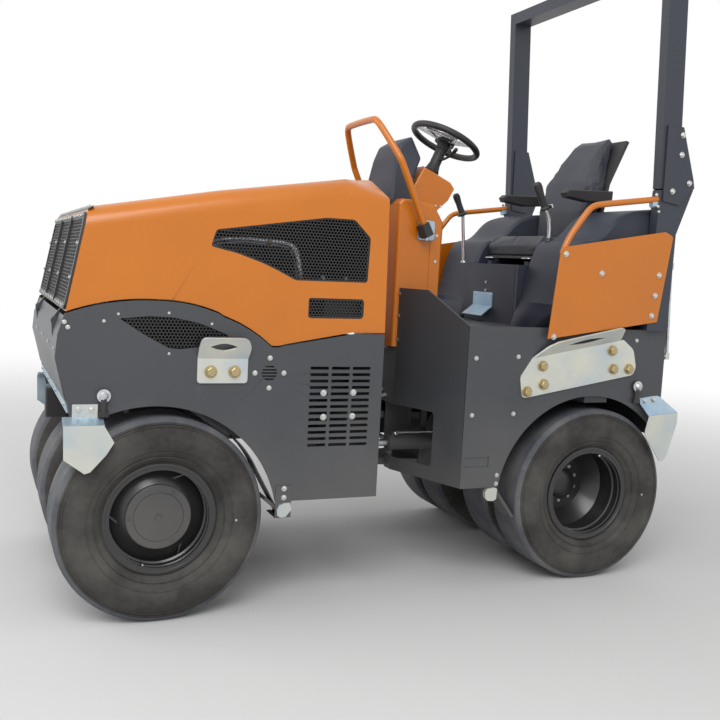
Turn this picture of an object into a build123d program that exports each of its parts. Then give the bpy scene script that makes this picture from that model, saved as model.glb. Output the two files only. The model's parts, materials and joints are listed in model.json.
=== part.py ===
# Articulated pneumatic tyre roller with three front and four rear smooth tyres
# Millimetres, +X to the front, +Y to the left, +Z up, origin on the ground below the middle of the wheelbase
import os
from math import atan2, cos, degrees, radians, sin

from build123d import *

os.makedirs("parts", exist_ok=True)

# Driving dimensions: running gear
wheelbase = 1913
tyre_radius = 385
tyre_width = 235
tread_width = 180
rim_seat_radius = 190.5
rim_inner_width = 152
rim_wall = 6
rim_flange = 18.5
rim_flange_wall = 8
bead_gap = 0.3
running_gap = 0.05
front_pitch = 527.5
rear_outer_face = 640
rear_pair_gap = 50
axle_radius = 30
spindle_radius = 50
front_hub_length = 70
hanger_inner = 200
hanger_outer = 330
collar_radius = 46

# Driving dimensions: frames and plates
half_width = 620
plate = 8
front_arch = (987, 329, 480)
rear_arch = (-930, 370, 460)
front_plate_bottom = 430
front_plate_rear = 92
rear_plate_front = -292
rear_plate_bottom = 441
rear_plate_back = -1315
deck_top = 1110
deck_lip = 18
rail_bottom = 800
rail_height = 110
rail_inner = 200
rail_width = 130
bulkhead_top = 1262
bulkhead_inner_y = 220
bulkhead_inner_x = -150

# Driving dimensions: centre joint
joint_height = 560
joint_barrel_radius = 55
king_pin_radius = 30
fork_plate = 30
fork_gap = 0.5
swing_shaft_radius = 40
swing_housing_radius = 70
cross_plate_front = 145
joint_barrel_height = 190

# Driving dimensions: steering cylinder
cylinder_z = joint_height
cylinder_arm = 200
cylinder_pivot = (-530, 200)
eye_half = 17
eye_radius = 28
eye_pin = 15
barrel_back = -450
barrel_front = -135
barrel_radius = 34
rod_radius = 16
cylinder_stroke = 105
rod_back = barrel_back + 15 + cylinder_stroke + 5

# Driving dimensions: openings in the front side plates, and the seam above them as seen from the side
seam_front = (1308, 1136)
seam_crest = (985, 1190)
seam_mid = (763, 1150)
seam_dip = (551, 1030)
seam_rear = (front_plate_rear, 1085)
louvre_window = (145, 396, 634, 962)
louvre_rows = 14
louvre_columns = 3
fin_window = [(1108, 1124), (1048, 1131), (962, 1128), (852, 1104), (751, 1073), (690, 1046), (904, 1018)]
horn_centre = (562, 931)
horn_radius = 30
horn_slot = 6
screen_sheet = 3
screen_lap = 12
screen_fit = 0.3
nose_front = 1338
nose_plate_low = 780

# Driving dimensions: hood
hood_skin = 5
hood_half = 612
hood_gap = 6
hood_back = 86
hood_hinge = (1322, 1098)
hood_hinge_radius = 8
hood_nose_low = (1312, 1100)
hood_nose_high = (1232, 1500)
hood_brow = (1210, 1514)
hood_knee = (763, 1602)
hood_crown = (265, 1684)
hood_tail = (97, 1598)
shoulder_radius = 70
hood_window = [(789, 1489), (796, 1436), (705, 1405), (603, 1358), (470, 1282), (167, 1286), (164, 1454),
               (232, 1527), (348, 1527)]
hood_vent = [(414, 1219), (185, 1220), (185, 1144), (414, 1142)]
window_radius = 12
screen_pitch = 22
screen_bar = 7
grille_low = 1148
grille_high = 1490
grille_half = 600
grille_sheet = 8
grille_border = 30
grille_rib = 34
grille_bays = 3
grille_rows = 13
nose_opening_margin = 16

# Driving dimensions: operator's station
dash_head_half = 115
dash_top = (-290, 1815)
seat_fit = 0.3
armrest_pivot = (-1180, 1735)
seat_shell = [(-1190, 1485), (-1205, 1640), (-1235, 1800), (-1330, 2020)]
moulding_top = 1514
moulding_high = 1668
moulding_back = -1210
tank_half = 588
tank_niche = -1275
seat_half = 210
seat_rail_height = 18
seat_pan_length = 340
seat_runner = 14
seat_pan = 12
seat_shell_wall = 17
seat_mid = -1020
shell_fit = 0.4
cushion_half = 232
armrest_inner = 248
armrest_width = 54
armrest_pin_radius = 9
armrest_pin_length = 24
rear_wall_high = 1500
console_front = -125
console_back = -345
console_half = 220
console_top = 1655
seat_box_front = -735
seat_box_half = 240
seat_box_top = 1392
rail_tube = 15
lever_rod = 8
lever_grip = 105
lever_grip_foot = 13
lever_grip_head = 18
rail_y = 265
wheel_centre = (-455, 0, 1965)
wheel_radius = 175
wheel_tilt = 24

# Driving dimensions: roll bar
post_x = -1290
post_depth = 100
post_wall_y = 595
post_width = 50
post_foot = deck_top + deck_lip
fold_height = 1750
fold_pivot = (-1350, 1784)
fold_pin_radius = 10
bar_top = 2772
bar_height = 60
post_lean = 2.4
hitch_radius = 14
hitch_height = 700
rear_wall_low = hitch_height - 60
fold_plate = 8

# Driving dimensions: lifting brackets, guards and scrapers
lip_lean = 22
bracket_bolt_hole = 9
bracket_corner = 14
guard_sheet = 4
guard_reach = 52
scraper_gap = 14
scraper_sheet = 5
scraper_outer_y = 606
scraper_width = 90
scraper_turns = (46, 36, 26)

front_axle_x = wheelbase / 2
rear_axle_x = -wheelbase / 2


def side_plane(y):
    return Plane(origin=(0, y, 0), x_dir=(1, 0, 0), z_dir=(0, -1, 0))


def section_plane(x):
    return Plane(origin=(x, 0, 0), x_dir=(0, 1, 0), z_dir=(1, 0, 0))


def wheel_plane(x):
    return Plane(origin=(x, 0, tyre_radius), x_dir=(1, 0, 0), z_dir=(0, 0, 1))


def wheel_axis(x):
    return Axis((x, 0, tyre_radius), (0, 1, 0))


def save(part, name):
    part.label = name
    export_step(part, f"parts/{name}.step")


def tyre(x, y):
    bead = rim_inner_width / 2 - bead_gap
    inner = rim_seat_radius + bead_gap
    half = tyre_width / 2
    crown = half - 2.7
    tread = tread_width / 2
    with BuildPart() as body:
        with BuildSketch(wheel_plane(x)):
            with BuildLine():
                l1 = Line((inner, y - bead), (inner, y + bead))
                l2 = Line(l1 @ 1, (inner + rim_flange + 4, y + bead))
                a1 = ThreePointArc(l2 @ 1,
                                   (inner + 95, y + crown), (tyre_radius - 18, y + half - 12))
                a2 = ThreePointArc(a1 @ 1, (tyre_radius - 5, y + half - 20), (tyre_radius, y + tread))
                l3 = Line(a2 @ 1, (tyre_radius, y - tread))
                a3 = ThreePointArc(l3 @ 1, (tyre_radius - 5, y - half + 20), (tyre_radius - 18, y - half + 12))
                a4 = ThreePointArc(a3 @ 1, (inner + 95, y - crown), (inner + rim_flange + 4, y - bead))
                Line(a4 @ 1, l1 @ 0)
            make_face()
        revolve(axis=wheel_axis(x))
    return body.part


def twin_tyres(side):
    return Compound(children=[tyre(rear_axle_x, side * rear_outer_y), tyre(rear_axle_x, side * rear_inner_y)])


def turned(x, outline, side=1):
    with BuildPart() as body:
        with BuildSketch(wheel_plane(x)):
            with BuildLine():
                Polyline([(r, side * a) for r, a in outline], close=True)
            make_face()
        revolve(axis=wheel_axis(x))
    return body.part


def rim_edge(centre, sign):
    # Barrel, flange and seat of one rim end, from the inside of the barrel out to the bead seat
    half = rim_inner_width / 2
    inside = rim_seat_radius - rim_wall
    top = rim_seat_radius + rim_flange
    outer = centre + sign * (half + rim_flange_wall)
    return [(inside, outer), (top, outer), (top, centre + sign * half), (rim_seat_radius, centre + sign * half)]


def front_outer_rim(side):
    c = front_pitch
    inside = rim_seat_radius - rim_wall
    bore = axle_radius + running_gap
    outline = [(0, c + 52), (90, c + 52), (90, c + 47), (120, c + 47), (120, c + 38), (inside, c + 6)]
    outline += rim_edge(c, 1)
    outline += reversed(rim_edge(c, -1))
    outline += [(inside, c - 4), (118, c + 29), (60, c + 29), (60, c - front_hub_length)]
    outline += [(bore, c - front_hub_length), (bore, c + 42), (0, c + 42)]
    return turned(front_axle_x, outline, side)


def front_centre_rim():
    inside = rim_seat_radius - rim_wall
    bore = axle_radius + running_gap
    outline = [(bore, front_hub_length), (60, front_hub_length), (60, 5), (inside, 5)]
    outline += rim_edge(0, 1)
    outline += reversed(rim_edge(0, -1))
    outline += [(inside, -5), (60, -5), (60, -front_hub_length), (bore, -front_hub_length)]
    return turned(front_axle_x, outline)


rear_outer_y = rear_outer_face - tyre_width / 2
rear_inner_y = rear_outer_y - tyre_width - rear_pair_gap
rear_mid_y = (rear_outer_y + rear_inner_y) / 2
spindle_end = rear_mid_y + 9


def rear_twin_rim(side):
    inside = rim_seat_radius - rim_wall
    bore = spindle_radius + running_gap
    m = rear_mid_y
    outer_end = rear_outer_y - rim_inner_width / 2 - rim_flange_wall
    inner_end = rear_inner_y + rim_inner_width / 2 + rim_flange_wall
    outline = [(0, m + 20), (70, m + 20), (70, m + 8), (125, m + 8), (inside, outer_end + 16)]
    outline += rim_edge(rear_outer_y, 1)
    outline += reversed(rim_edge(rear_outer_y, -1)[1:])
    outline += [(rim_seat_radius, outer_end), (133, m), (rim_seat_radius, inner_end)]
    outline += rim_edge(rear_inner_y, 1)[1:]
    outline += reversed(rim_edge(rear_inner_y, -1))
    outline += [(inside, inner_end - 16), (125, m - 8), (95, m - 8), (95, m - 50)]
    outline += [(bore, m - 50), (bore, m + 10), (0, m + 10)]
    return turned(rear_axle_x, outline, side)


def front_axle():
    hanger_back = front_axle_x - 80
    hanger_front = front_axle_x + 80
    with BuildPart() as body:
        with BuildSketch(side_plane(hanger_outer)):
            with BuildLine():
                Polyline([(hanger_back, rail_bottom), (hanger_front, rail_bottom), (hanger_front, 460),
                          (front_axle_x + 60, 400), (front_axle_x + 60, 320), (front_axle_x - 60, 320),
                          (front_axle_x - 60, 400), (hanger_back, 460)], close=True)
            make_face()
        extrude(amount=hanger_outer - hanger_inner)
        mirror(about=Plane.XZ)
        shaft_end = front_pitch + 41
        with Locations(Location((front_axle_x, 0, tyre_radius), (90, 0, 0))):
            Cylinder(axle_radius, 2 * shaft_end)
        collar = front_pitch - front_hub_length - 1
        for side in (1, -1):
            inner_collar = front_hub_length + 1
            for start, end in ((hanger_outer, collar), (inner_collar, hanger_inner)):
                with Locations(Location((front_axle_x, side * (start + end) / 2, tyre_radius), (90, 0, 0))):
                    Cylinder(collar_radius, end - start)
    return body.part


def rear_axle():
    with BuildPart() as body:
        with BuildSketch(side_plane(100)):
            with BuildLine():
                Polyline([(rear_axle_x - 150, rail_bottom), (rear_axle_x + 150, rail_bottom),
                          (rear_axle_x + 120, 430), (rear_axle_x + 70, 290), (rear_axle_x - 70, 290),
                          (rear_axle_x - 120, 430)], close=True)
            make_face()
        extrude(amount=200)
        with Locations(Location((rear_axle_x, 0, tyre_radius), (90, 0, 0))):
            Cylinder(spindle_radius, 2 * spindle_end)
            Cylinder(95, 2 * (rear_mid_y - 52))
    return body.part


def seam_line(drop):
    # From the nose back over the wheel to the rear edge
    a = ThreePointArc((seam_front[0], seam_front[1] - drop), (1140, 1181 - drop),
                      (seam_crest[0], seam_crest[1] - drop))
    b = ThreePointArc(a @ 1, (868, 1180 - drop), (seam_mid[0], seam_mid[1] - drop))
    c = Line(b @ 1, (seam_dip[0] + 40, seam_dip[1] + 8 - drop))
    d = ThreePointArc(c @ 1, (seam_dip[0], seam_dip[1] - 2 - drop),
                      (seam_dip[0] - 50, seam_dip[1] + 5 - drop))
    e = Line(d @ 1, (228, 1084 - drop))
    return e


def window(points, radius=window_radius):
    # An outline with rounded corners, in the sketch that is open
    with BuildSketch(Plane.XY, mode=Mode.PRIVATE) as outline:
        with BuildLine():
            Polyline(points, close=True)
        make_face()
        fillet(outline.vertices(), radius)
    return outline.sketch


def screen(points, plane):
    # A slotted sheet that laps a window's edge all round, from a face inwards
    xs = [x for x, _ in points]
    zs = [z for _, z in points]
    middle = ((min(xs) + max(xs)) / 2, (min(zs) + max(zs)) / 2)
    rows = int((max(zs) - min(zs) - screen_bar) / screen_pitch)
    columns = max(1, round((max(xs) - min(xs)) / 210))
    column = (max(xs) - min(xs)) / columns
    with BuildSketch(Plane.XY, mode=Mode.PRIVATE) as slots:
        with Locations(middle):
            with GridLocations(column, screen_pitch, columns, rows):
                Rectangle(column - 2 * screen_bar, screen_pitch - screen_bar)
        add(offset(window(points), amount=-screen_bar, kind=Kind.INTERSECTION), mode=Mode.INTERSECT)
    with BuildPart() as body:
        with BuildSketch(plane):
            add(offset(window(points), amount=screen_lap, kind=Kind.INTERSECTION))
            add(slots.sketch, mode=Mode.SUBTRACT)
        extrude(amount=screen_sheet)
    return body.part


def front_side_plates():
    x0, z0, r0 = front_arch
    arch_front_x = 1272
    arch_front_z = z0 + (r0 ** 2 - (arch_front_x - x0) ** 2) ** 0.5
    arch_rear_x = x0 - (r0 ** 2 - (front_plate_bottom - z0) ** 2) ** 0.5
    with BuildPart() as body:
        with BuildSketch(side_plane(half_width)):
            with BuildLine():
                end = seam_line(0)
                Polyline(end @ 1, seam_rear, (front_plate_rear, front_plate_bottom),
                         (arch_rear_x, front_plate_bottom))
                ThreePointArc((arch_rear_x, front_plate_bottom), (x0, z0 + r0), (arch_front_x, arch_front_z))
                Polyline((arch_front_x, arch_front_z), (1296, 830), (1338, 985), (1330, 1065), seam_front)
            make_face()
            left, right, low, high = louvre_window
            with Locations(((left + right) / 2, (low + high) / 2)):
                Rectangle(right - left, high - low, mode=Mode.SUBTRACT)
            add(window(fin_window), mode=Mode.SUBTRACT)
        extrude(amount=plate)
        mirror(about=Plane.XZ)
        # The horn sounds through slots in a circle on the left plate
        with BuildSketch(side_plane(half_width)):
            with Locations(horn_centre):
                with GridLocations(1, 2 * horn_slot, 1, 5):
                    Rectangle(2 * horn_radius, horn_slot)
                Circle(horn_radius, mode=Mode.INTERSECT)
        extrude(amount=plate, mode=Mode.SUBTRACT)
    return body.part


def louvre_panels():
    left, right, low, high = louvre_window
    fit = 0.3
    slot_w = (right - left - 26) / louvre_columns - 12
    slot_h = (high - low - 20) / louvre_rows * 0.48
    with BuildPart() as body:
        with BuildSketch(side_plane(half_width)):
            with Locations(((left + right) / 2, (low + high) / 2)):
                Rectangle(right - left - 2 * fit, high - low - 2 * fit)
                with GridLocations(slot_w + 12, (high - low - 20) / louvre_rows, louvre_columns, louvre_rows):
                    Rectangle(slot_w, slot_h, mode=Mode.SUBTRACT)
        extrude(amount=plate)
        add(screen(fin_window, side_plane(half_width - plate - screen_fit)))
        mirror(about=Plane.XZ)
    return body.part


def front_chassis():
    inner = half_width - plate
    front_end = 1245
    with BuildPart() as body:
        for side in (1, -1):
            with Locations(((cross_plate_front + front_end) / 2, side * (rail_inner + rail_width / 2),
                            rail_bottom + rail_height / 2)):
                Box(front_end - cross_plate_front, rail_width, rail_height)
        with BuildSketch(section_plane(cross_plate_front)):
            with Locations((0, (450 + 1060) / 2)):
                Rectangle(2 * inner, 1060 - 450)
            with Locations((0, joint_height)):
                Circle(swing_shaft_radius + 0.1, mode=Mode.SUBTRACT)
        extrude(amount=-20)
        with BuildSketch(section_plane(cross_plate_front)):
            with Locations((0, joint_height)):
                Circle(swing_housing_radius)
                Circle(swing_shaft_radius + 0.1, mode=Mode.SUBTRACT)
        extrude(amount=150)
        with Locations((front_end - 30, 0, rail_bottom + rail_height / 2)):
            Box(60, 2 * inner, rail_height)
        web_low = joint_height + swing_shaft_radius + 14
        with Locations((cross_plate_front + 70, 0, (web_low + rail_bottom) / 2)):
            Box(140, 60, rail_bottom - web_low)
        with Locations((cross_plate_front + 70, 0, rail_bottom + rail_height / 2)):
            Box(140, 2 * rail_inner, rail_height)
    return body.part


def nose_panel():
    inner = half_width - plate
    with BuildPart() as body:
        with BuildSketch(side_plane(inner)):
            with BuildLine():
                Polyline([(1308, 1128), (1328, 1070), (nose_front, 985), (1302, 835), (1262, nose_plate_low),
                          (1256, nose_plate_low + 4), (1294, 838), (nose_front - plate, 985), (1320, 1068),
                          (1300, 1125)], close=True)
            make_face()
        extrude(amount=2 * inner)
        for side in (1, -1):
            with Locations((hood_hinge[0], side * 407, hood_hinge[1] + 12)):
                Box(70, 62, 64, mode=Mode.SUBTRACT)
        for y in (-420, 420):
            with BuildSketch(side_plane(y + 10)):
                with BuildLine():
                    Polyline([(1322, 1040), (1332, 1040), (hood_hinge[0] + 14, hood_hinge[1] - 4),
                              (hood_hinge[0] - 14, hood_hinge[1] - 4)], close=True)
                make_face()
                with Locations(hood_hinge):
                    Circle(16)
            extrude(amount=20)
        for side in (1, -1):
            with Locations(Location((hood_hinge[0], side * 407, hood_hinge[1]), (90, 0, 0))):
                Cylinder(hood_hinge_radius, 46)
    return body.part


def rear_side_plates():
    x0, z0, r0 = rear_arch
    arch_front_x = x0 + (r0 ** 2 - (rear_plate_bottom - z0) ** 2) ** 0.5
    arch_rear_z = z0 + (r0 ** 2 - (rear_plate_back - x0) ** 2) ** 0.5
    top = deck_top + deck_lip
    with BuildPart() as body:
        with BuildSketch(side_plane(half_width)):
            with BuildLine():
                Polyline((rear_plate_back, arch_rear_z), (rear_plate_back, top), (rear_plate_front, top),
                         (rear_plate_front, rear_plate_bottom), (arch_front_x, rear_plate_bottom))
                ThreePointArc((arch_front_x, rear_plate_bottom), (x0, z0 + r0), (rear_plate_back, arch_rear_z))
            make_face()
        extrude(amount=plate)
        # Shallow pocket near the front edge
        with BuildSketch(side_plane(half_width)):
            with Locations((-363, 552)):
                Rectangle(120, 43)
        extrude(amount=plate / 2, mode=Mode.SUBTRACT)
        mirror(about=Plane.XZ)
    return body.part


def bulkhead():
    outer = half_width - plate
    bx = bulkhead_inner_x
    by = bulkhead_inner_y
    t = plate
    with BuildPart() as body:
        with BuildSketch(Plane.XY.offset(rear_plate_bottom)):
            with BuildLine():
                Polyline([(rear_plate_front, outer), (bx, by), (bx, -by), (rear_plate_front, -outer),
                          (rear_plate_front - t, -outer), (bx - t, -by - 2), (bx - t, by + 2),
                          (rear_plate_front - t, outer)], close=True)
            make_face()
        extrude(amount=bulkhead_top - rear_plate_bottom)
        for side in (1, -1):
            with BuildSketch(section_plane(bx + 20)):
                with BuildLine():
                    Polyline([(side * 380, bulkhead_top + 1), (side * outer, deck_top + deck_lip),
                              (side * (outer + 5), deck_top + deck_lip), (side * (outer + 5), bulkhead_top + 1)],
                             close=True)
                make_face()
            extrude(amount=-250, mode=Mode.SUBTRACT)
        with BuildSketch(section_plane(bx + 20)):
            with Locations((300, 620), (-300, 620)):
                RectangleRounded(310, 240, 18)
            with Locations((0, joint_height + 10)):
                Rectangle(310, 340)
        extrude(amount=-250, mode=Mode.SUBTRACT)
    return body.part


def operator_deck():
    outer = half_width - plate
    with BuildPart() as body:
        with BuildSketch(Plane.XY.offset(deck_top)):
            with BuildLine():
                Polyline([(rear_plate_front - plate, outer), (bulkhead_inner_x - plate, bulkhead_inner_y + 2),
                          (bulkhead_inner_x - plate, -bulkhead_inner_y - 2), (rear_plate_front - plate, -outer),
                          (rear_plate_back + plate, -outer), (rear_plate_back + plate, outer)], close=True)
            make_face()
        extrude(amount=-plate)
        with BuildSketch(section_plane(rear_plate_back)):
            with Locations((0, (rear_wall_low + rear_wall_high) / 2)):
                Rectangle(2 * outer, rear_wall_high - rear_wall_low)
            with Locations((0, hitch_height + 12.5)):
                Rectangle(120.6, 25.6, mode=Mode.SUBTRACT)
        extrude(amount=plate)
    return body.part


def rear_chassis():
    outer = half_width - plate
    back = rear_plate_back + plate
    with BuildPart() as body:
        for side in (1, -1):
            with Locations(((-330 + back) / 2, side * 165, rail_bottom + rail_height / 2)):
                Box(-330 - back, rail_width, rail_height)
        with Locations((-345, 0, (450 + 1090) / 2)):
            Box(30, 300, 640)
        with Locations((rear_axle_x, 0, rail_bottom + rail_height / 2)):
            Box(120, 2 * outer, rail_height)
        # Fork plates that hold the king pin
        barrel_half = joint_barrel_height / 2
        for z in (joint_height + barrel_half + fork_gap + fork_plate / 2,
                  joint_height - barrel_half - fork_gap - fork_plate / 2):
            with BuildSketch(Plane.XY.offset(z - fork_plate / 2)):
                with BuildLine():
                    Polyline([(-331, 140), (-60, 68), (0, 68), (0, -68), (-60, -68), (-331, -140)], close=True)
                make_face()
                Circle(68)
            extrude(amount=fork_plate)
        with BuildSketch(Plane.XY.offset(joint_height - barrel_half - fork_gap - fork_plate)):
            Circle(king_pin_radius)
        extrude(amount=joint_barrel_height + 2 * (fork_gap + fork_plate))
        # Tow hitch through the rear wall
        with BuildSketch(Plane.XY.offset(hitch_height)):
            with BuildLine():
                Polyline([(back, 60), (rear_plate_back, 60), (rear_plate_back - 30, 30),
                          (rear_plate_back - 30, -30), (rear_plate_back, -60), (back, -60)], close=True)
            make_face()
            with Locations((rear_plate_back - 30, 0)):
                Circle(30)
                Circle(hitch_radius, mode=Mode.SUBTRACT)
        extrude(amount=25)
        with Locations((back + 6, 0, (hitch_height + rail_bottom) / 2)):
            Box(12, 2 * rail_inner, rail_bottom - hitch_height)
        # Bracket and pin for the steering cylinder
        px, py = cylinder_pivot
        for z in (cylinder_z + eye_half + 1, cylinder_z - eye_half - 13):
            with BuildSketch(Plane.XY.offset(z)):
                with Locations((px, py + 10)):
                    Rectangle(64, 88)
            extrude(amount=12)
        with BuildSketch(Plane.XY.offset(cylinder_z - eye_half - 13)):
            with Locations((px, py)):
                Circle(eye_pin)
        extrude(amount=2 * (eye_half + 13))
        bracket_low = cylinder_z - eye_half - 13
        with Locations((px, py + 46, (bracket_low + rail_bottom) / 2)):
            Box(64, 16, rail_bottom - bracket_low)
        with Locations((px, py + 27, rail_bottom + 6)):
            Box(64, 54, 12)
    return body.part


def centre_joint():
    with BuildPart() as body:
        with BuildSketch(Plane.XY.offset(joint_height - joint_barrel_height / 2)):
            Circle(joint_barrel_radius)
            Circle(king_pin_radius + running_gap, mode=Mode.SUBTRACT)
        extrude(amount=joint_barrel_height)
        with BuildSketch(section_plane(45)):
            with Locations((0, joint_height)):
                Rectangle(90, 150)
        extrude(amount=45)
        with BuildSketch(section_plane(88)):
            with Locations((0, joint_height)):
                Circle(swing_shaft_radius)
        extrude(amount=200)
        # Clevis arm for the rod's eye
        for z in (cylinder_z + eye_half + 1 + 6, cylinder_z - eye_half - 1 - 6):
            with BuildSketch(Plane.XY.offset(z - 6)):
                with BuildLine():
                    Polyline([(85, 40), (85, 70), (28, cylinder_arm + 10), (-28, cylinder_arm + 10),
                              (-28, cylinder_arm - 28), (45, 40)], close=True)
                make_face()
                with Locations((0, cylinder_arm)):
                    Circle(eye_radius)
                    Circle(eye_pin, mode=Mode.SUBTRACT)
            extrude(amount=12)
    return body.part


def steering_barrel():
    px, py = cylinder_pivot
    with BuildPart() as body:
        with BuildSketch(section_plane(barrel_back + 15)):
            with Locations((py, cylinder_z)):
                Circle(barrel_radius)
                Circle(rod_radius + running_gap, mode=Mode.SUBTRACT)
        extrude(amount=barrel_front - barrel_back - 15)
        with BuildSketch(section_plane(barrel_back)):
            with Locations((py, cylinder_z)):
                Circle(barrel_radius)
        extrude(amount=15)
        with BuildSketch(Plane.XY.offset(cylinder_z - eye_half)):
            with Locations((px, py)):
                Circle(eye_radius)
            with Locations(((px + barrel_back) / 2, py)):
                Rectangle(barrel_back - px, 36)
            with Locations((px, py)):
                Circle(eye_pin + running_gap, mode=Mode.SUBTRACT)
        extrude(amount=2 * eye_half)
    return body.part


def steering_rod():
    py = cylinder_pivot[1]
    with BuildPart() as body:
        with BuildSketch(section_plane(rod_back)):
            with Locations((py, cylinder_z)):
                Circle(rod_radius)
        extrude(amount=-rod_back - 24)
        with BuildSketch(Plane.XY.offset(cylinder_z - eye_half)):
            with Locations((0, py)):
                Circle(eye_radius)
                Circle(eye_pin, mode=Mode.SUBTRACT)
        extrude(amount=2 * eye_half)
    return body.part


def nose_x(z):
    # Outer face of the hood's front at a height
    slope = (hood_nose_low[0] - hood_nose_high[0]) / (hood_nose_high[1] - hood_nose_low[1])
    return hood_nose_low[0] - slope * (z - hood_nose_low[1])


def hood_form(inset):
    # The hood's outer form, or the same form drawn in by its skin
    half = hood_half - inset
    with BuildPart() as form:
        with BuildSketch(side_plane(half)):
            with BuildLine():
                Polyline([(hood_back, 950), hood_tail, hood_crown, hood_knee, hood_brow, hood_nose_high,
                          hood_nose_low, (1340, 950)], close=True)
            make_face()
            if inset:
                offset(amount=-inset, kind=Kind.INTERSECTION, mode=Mode.REPLACE)
        extrude(amount=2 * half)
        shoulders = [e for e in form.edges() if abs((e % 0.5).Y) < 0.1 and e.center().Z > 1300
                     and abs(e.center().Y) > half - 1 and 100 < e.center().X < 1210]
        fillet(shoulders, shoulder_radius - inset)
        if inset:
            with BuildSketch(Plane.XY.offset(900)):
                Rectangle(4000, 2 * half)
            extrude(amount=50 + inset + 1)
    return form.part


def hood():
    with BuildPart() as body:
        add(hood_form(0))
        add(hood_form(hood_skin), mode=Mode.SUBTRACT)
        with BuildSketch(side_plane(hood_half + 1)):
            with BuildLine():
                end = seam_line(-hood_gap)
                Polyline(end @ 1, (seam_rear[0] - 40, seam_rear[1] + hood_gap), (seam_rear[0] - 40, 900),
                         (1500, 900), (1500, seam_front[1] + hood_gap),
                         (seam_front[0], seam_front[1] + hood_gap))
            make_face()
        extrude(amount=2 * hood_half + 2, mode=Mode.SUBTRACT)
        with BuildSketch(section_plane(nose_x(grille_low) + 50)):
            with Locations((0, (grille_low + grille_high) / 2)):
                Rectangle(2 * (grille_half - nose_opening_margin),
                          grille_high - grille_low - 2 * nose_opening_margin)
        extrude(amount=-200, mode=Mode.SUBTRACT)
        with BuildSketch(side_plane(hood_half + 1)):
            add(window(hood_window))
            add(window(hood_vent))
        extrude(amount=2 * hood_half + 2, mode=Mode.SUBTRACT)
        hx, hz = hood_hinge
        for y in (405, -385):
            with BuildSketch(side_plane(y)):
                with BuildLine():
                    Polyline([(nose_x(1158) - 2, 1158), (nose_x(1142) - 2, 1145), (hx + 14, hz), (hx - 14, hz),
                              (nose_x(1158) - 26, 1158)], close=True)
                make_face()
                with Locations(hood_hinge):
                    Circle(14)
                    Circle(hood_hinge_radius + running_gap, mode=Mode.SUBTRACT)
            extrude(amount=20)
    return body.part


def hood_screens():
    with BuildPart() as body:
        for points in (hood_window, hood_vent):
            add(screen(points, side_plane(hood_half - hood_skin - screen_fit)))
        mirror(about=Plane.XZ)
    return body.part


def console():
    t = plate
    notch = 0.3
    front = bulkhead_inner_x
    with BuildPart() as body:
        with BuildSketch(side_plane(console_half)):
            with BuildLine():
                Polyline([(console_front, 1000), (front + notch, 1000), (front + notch, bulkhead_top + notch),
                          (front - t - notch, bulkhead_top + notch), (front - t - notch, deck_top),
                          (console_back, deck_top), (console_back - 8, 1560),
                          (console_back + 40, console_top - 20), (-225, console_top), (console_front - 20, console_top),
                          (console_front, console_top - 20)], close=True)
            make_face()
        extrude(amount=2 * console_half)
        edges = [e for e in body.edges() if abs(e.center().Y) > console_half - 1 and e.center().Z > 1300
                 and e.center().X > console_back - 6]
        fillet(edges, 14)
        # The slanted head under the steering wheel
        with BuildPart(mode=Mode.PRIVATE) as head:
            with BuildSketch(side_plane(dash_head_half)):
                with BuildLine():
                    Polyline([(-243, 1722), dash_top, (-433, 1751.5), (-452, 1727), (-420, 1668),
                              (-345, 1600), (-235, 1620)], close=True)
                make_face()
            extrude(amount=2 * dash_head_half)
            rims = [e for e in head.edges() if abs(e.center().Y) > dash_head_half - 1 and e.center().Z > 1700]
            fillet(rims, 10)
        add(head.part)
        # Flange that the rear cover is bolted to
        for side in (1, -1):
            with Locations((console_back + 32, side * (console_half + 1.5), (deck_top + 1540) / 2)):
                Box(50, 3, 1540 - deck_top)
    return body.part


def steering_column():
    dx = -sin(radians(wheel_tilt))
    dz = cos(radians(wheel_tilt))
    cx, _, cz = wheel_centre
    reach = (cx - dash_top[0]) * dx + (cz - dash_top[1]) * dz - seat_fit
    base = Plane(origin=(cx - dx * reach, 0, cz - dz * reach), z_dir=(dx, 0, dz))
    with BuildPart() as body:
        with BuildSketch(base):
            Circle(26)
        extrude(amount=reach - 61)
    return body.part


def steering_wheel():
    dx = -sin(radians(wheel_tilt))
    dz = cos(radians(wheel_tilt))
    disc = Plane(origin=wheel_centre, x_dir=(dz, 0, -dx), z_dir=(dx, 0, dz))
    with BuildPart() as body:
        with BuildSketch(disc.offset(-60)):
            Circle(30)
        extrude(amount=30)
        with BuildSketch(disc.offset(-30)):
            Circle(48)
        extrude(amount=22)
        with BuildSketch(disc.offset(-22)):
            with PolarLocations(wheel_radius / 2, 3, start_angle=180):
                Rectangle(wheel_radius - 30, 34)
        extrude(amount=12)
        with BuildSketch(Plane(origin=wheel_centre, x_dir=(dz, 0, -dx), z_dir=(0, 1, 0))):
            with Locations((wheel_radius - 15, 14)):
                Circle(15)
        revolve(axis=Axis(wheel_centre, (dx, 0, dz)))
    return body.part


def instrument_pod():
    with BuildPart() as body:
        with BuildSketch(side_plane(150)):
            with BuildLine():
                Polyline([(-118, console_top + 0.3), (-14, 1726), (-46, 1820), (-108, 1888), (-218, 1926),
                          (-262, 1836), (-226, 1712), (-226, console_top + 0.3)], close=True)
            make_face()
        extrude(amount=300)
        edges = [e for e in body.edges() if abs(e.center().Y) > 140 and e.center().Z > 1730]
        fillet(edges, 24)
        # The sides taper towards the top
        for side in (1, -1):
            with BuildSketch(section_plane(50)):
                with BuildLine():
                    Polyline([(side * 151, 1735), (side * 112, 1930), (side * 151, 1930)], close=True)
                make_face()
            extrude(amount=-350, mode=Mode.SUBTRACT)
    return body.part


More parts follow.
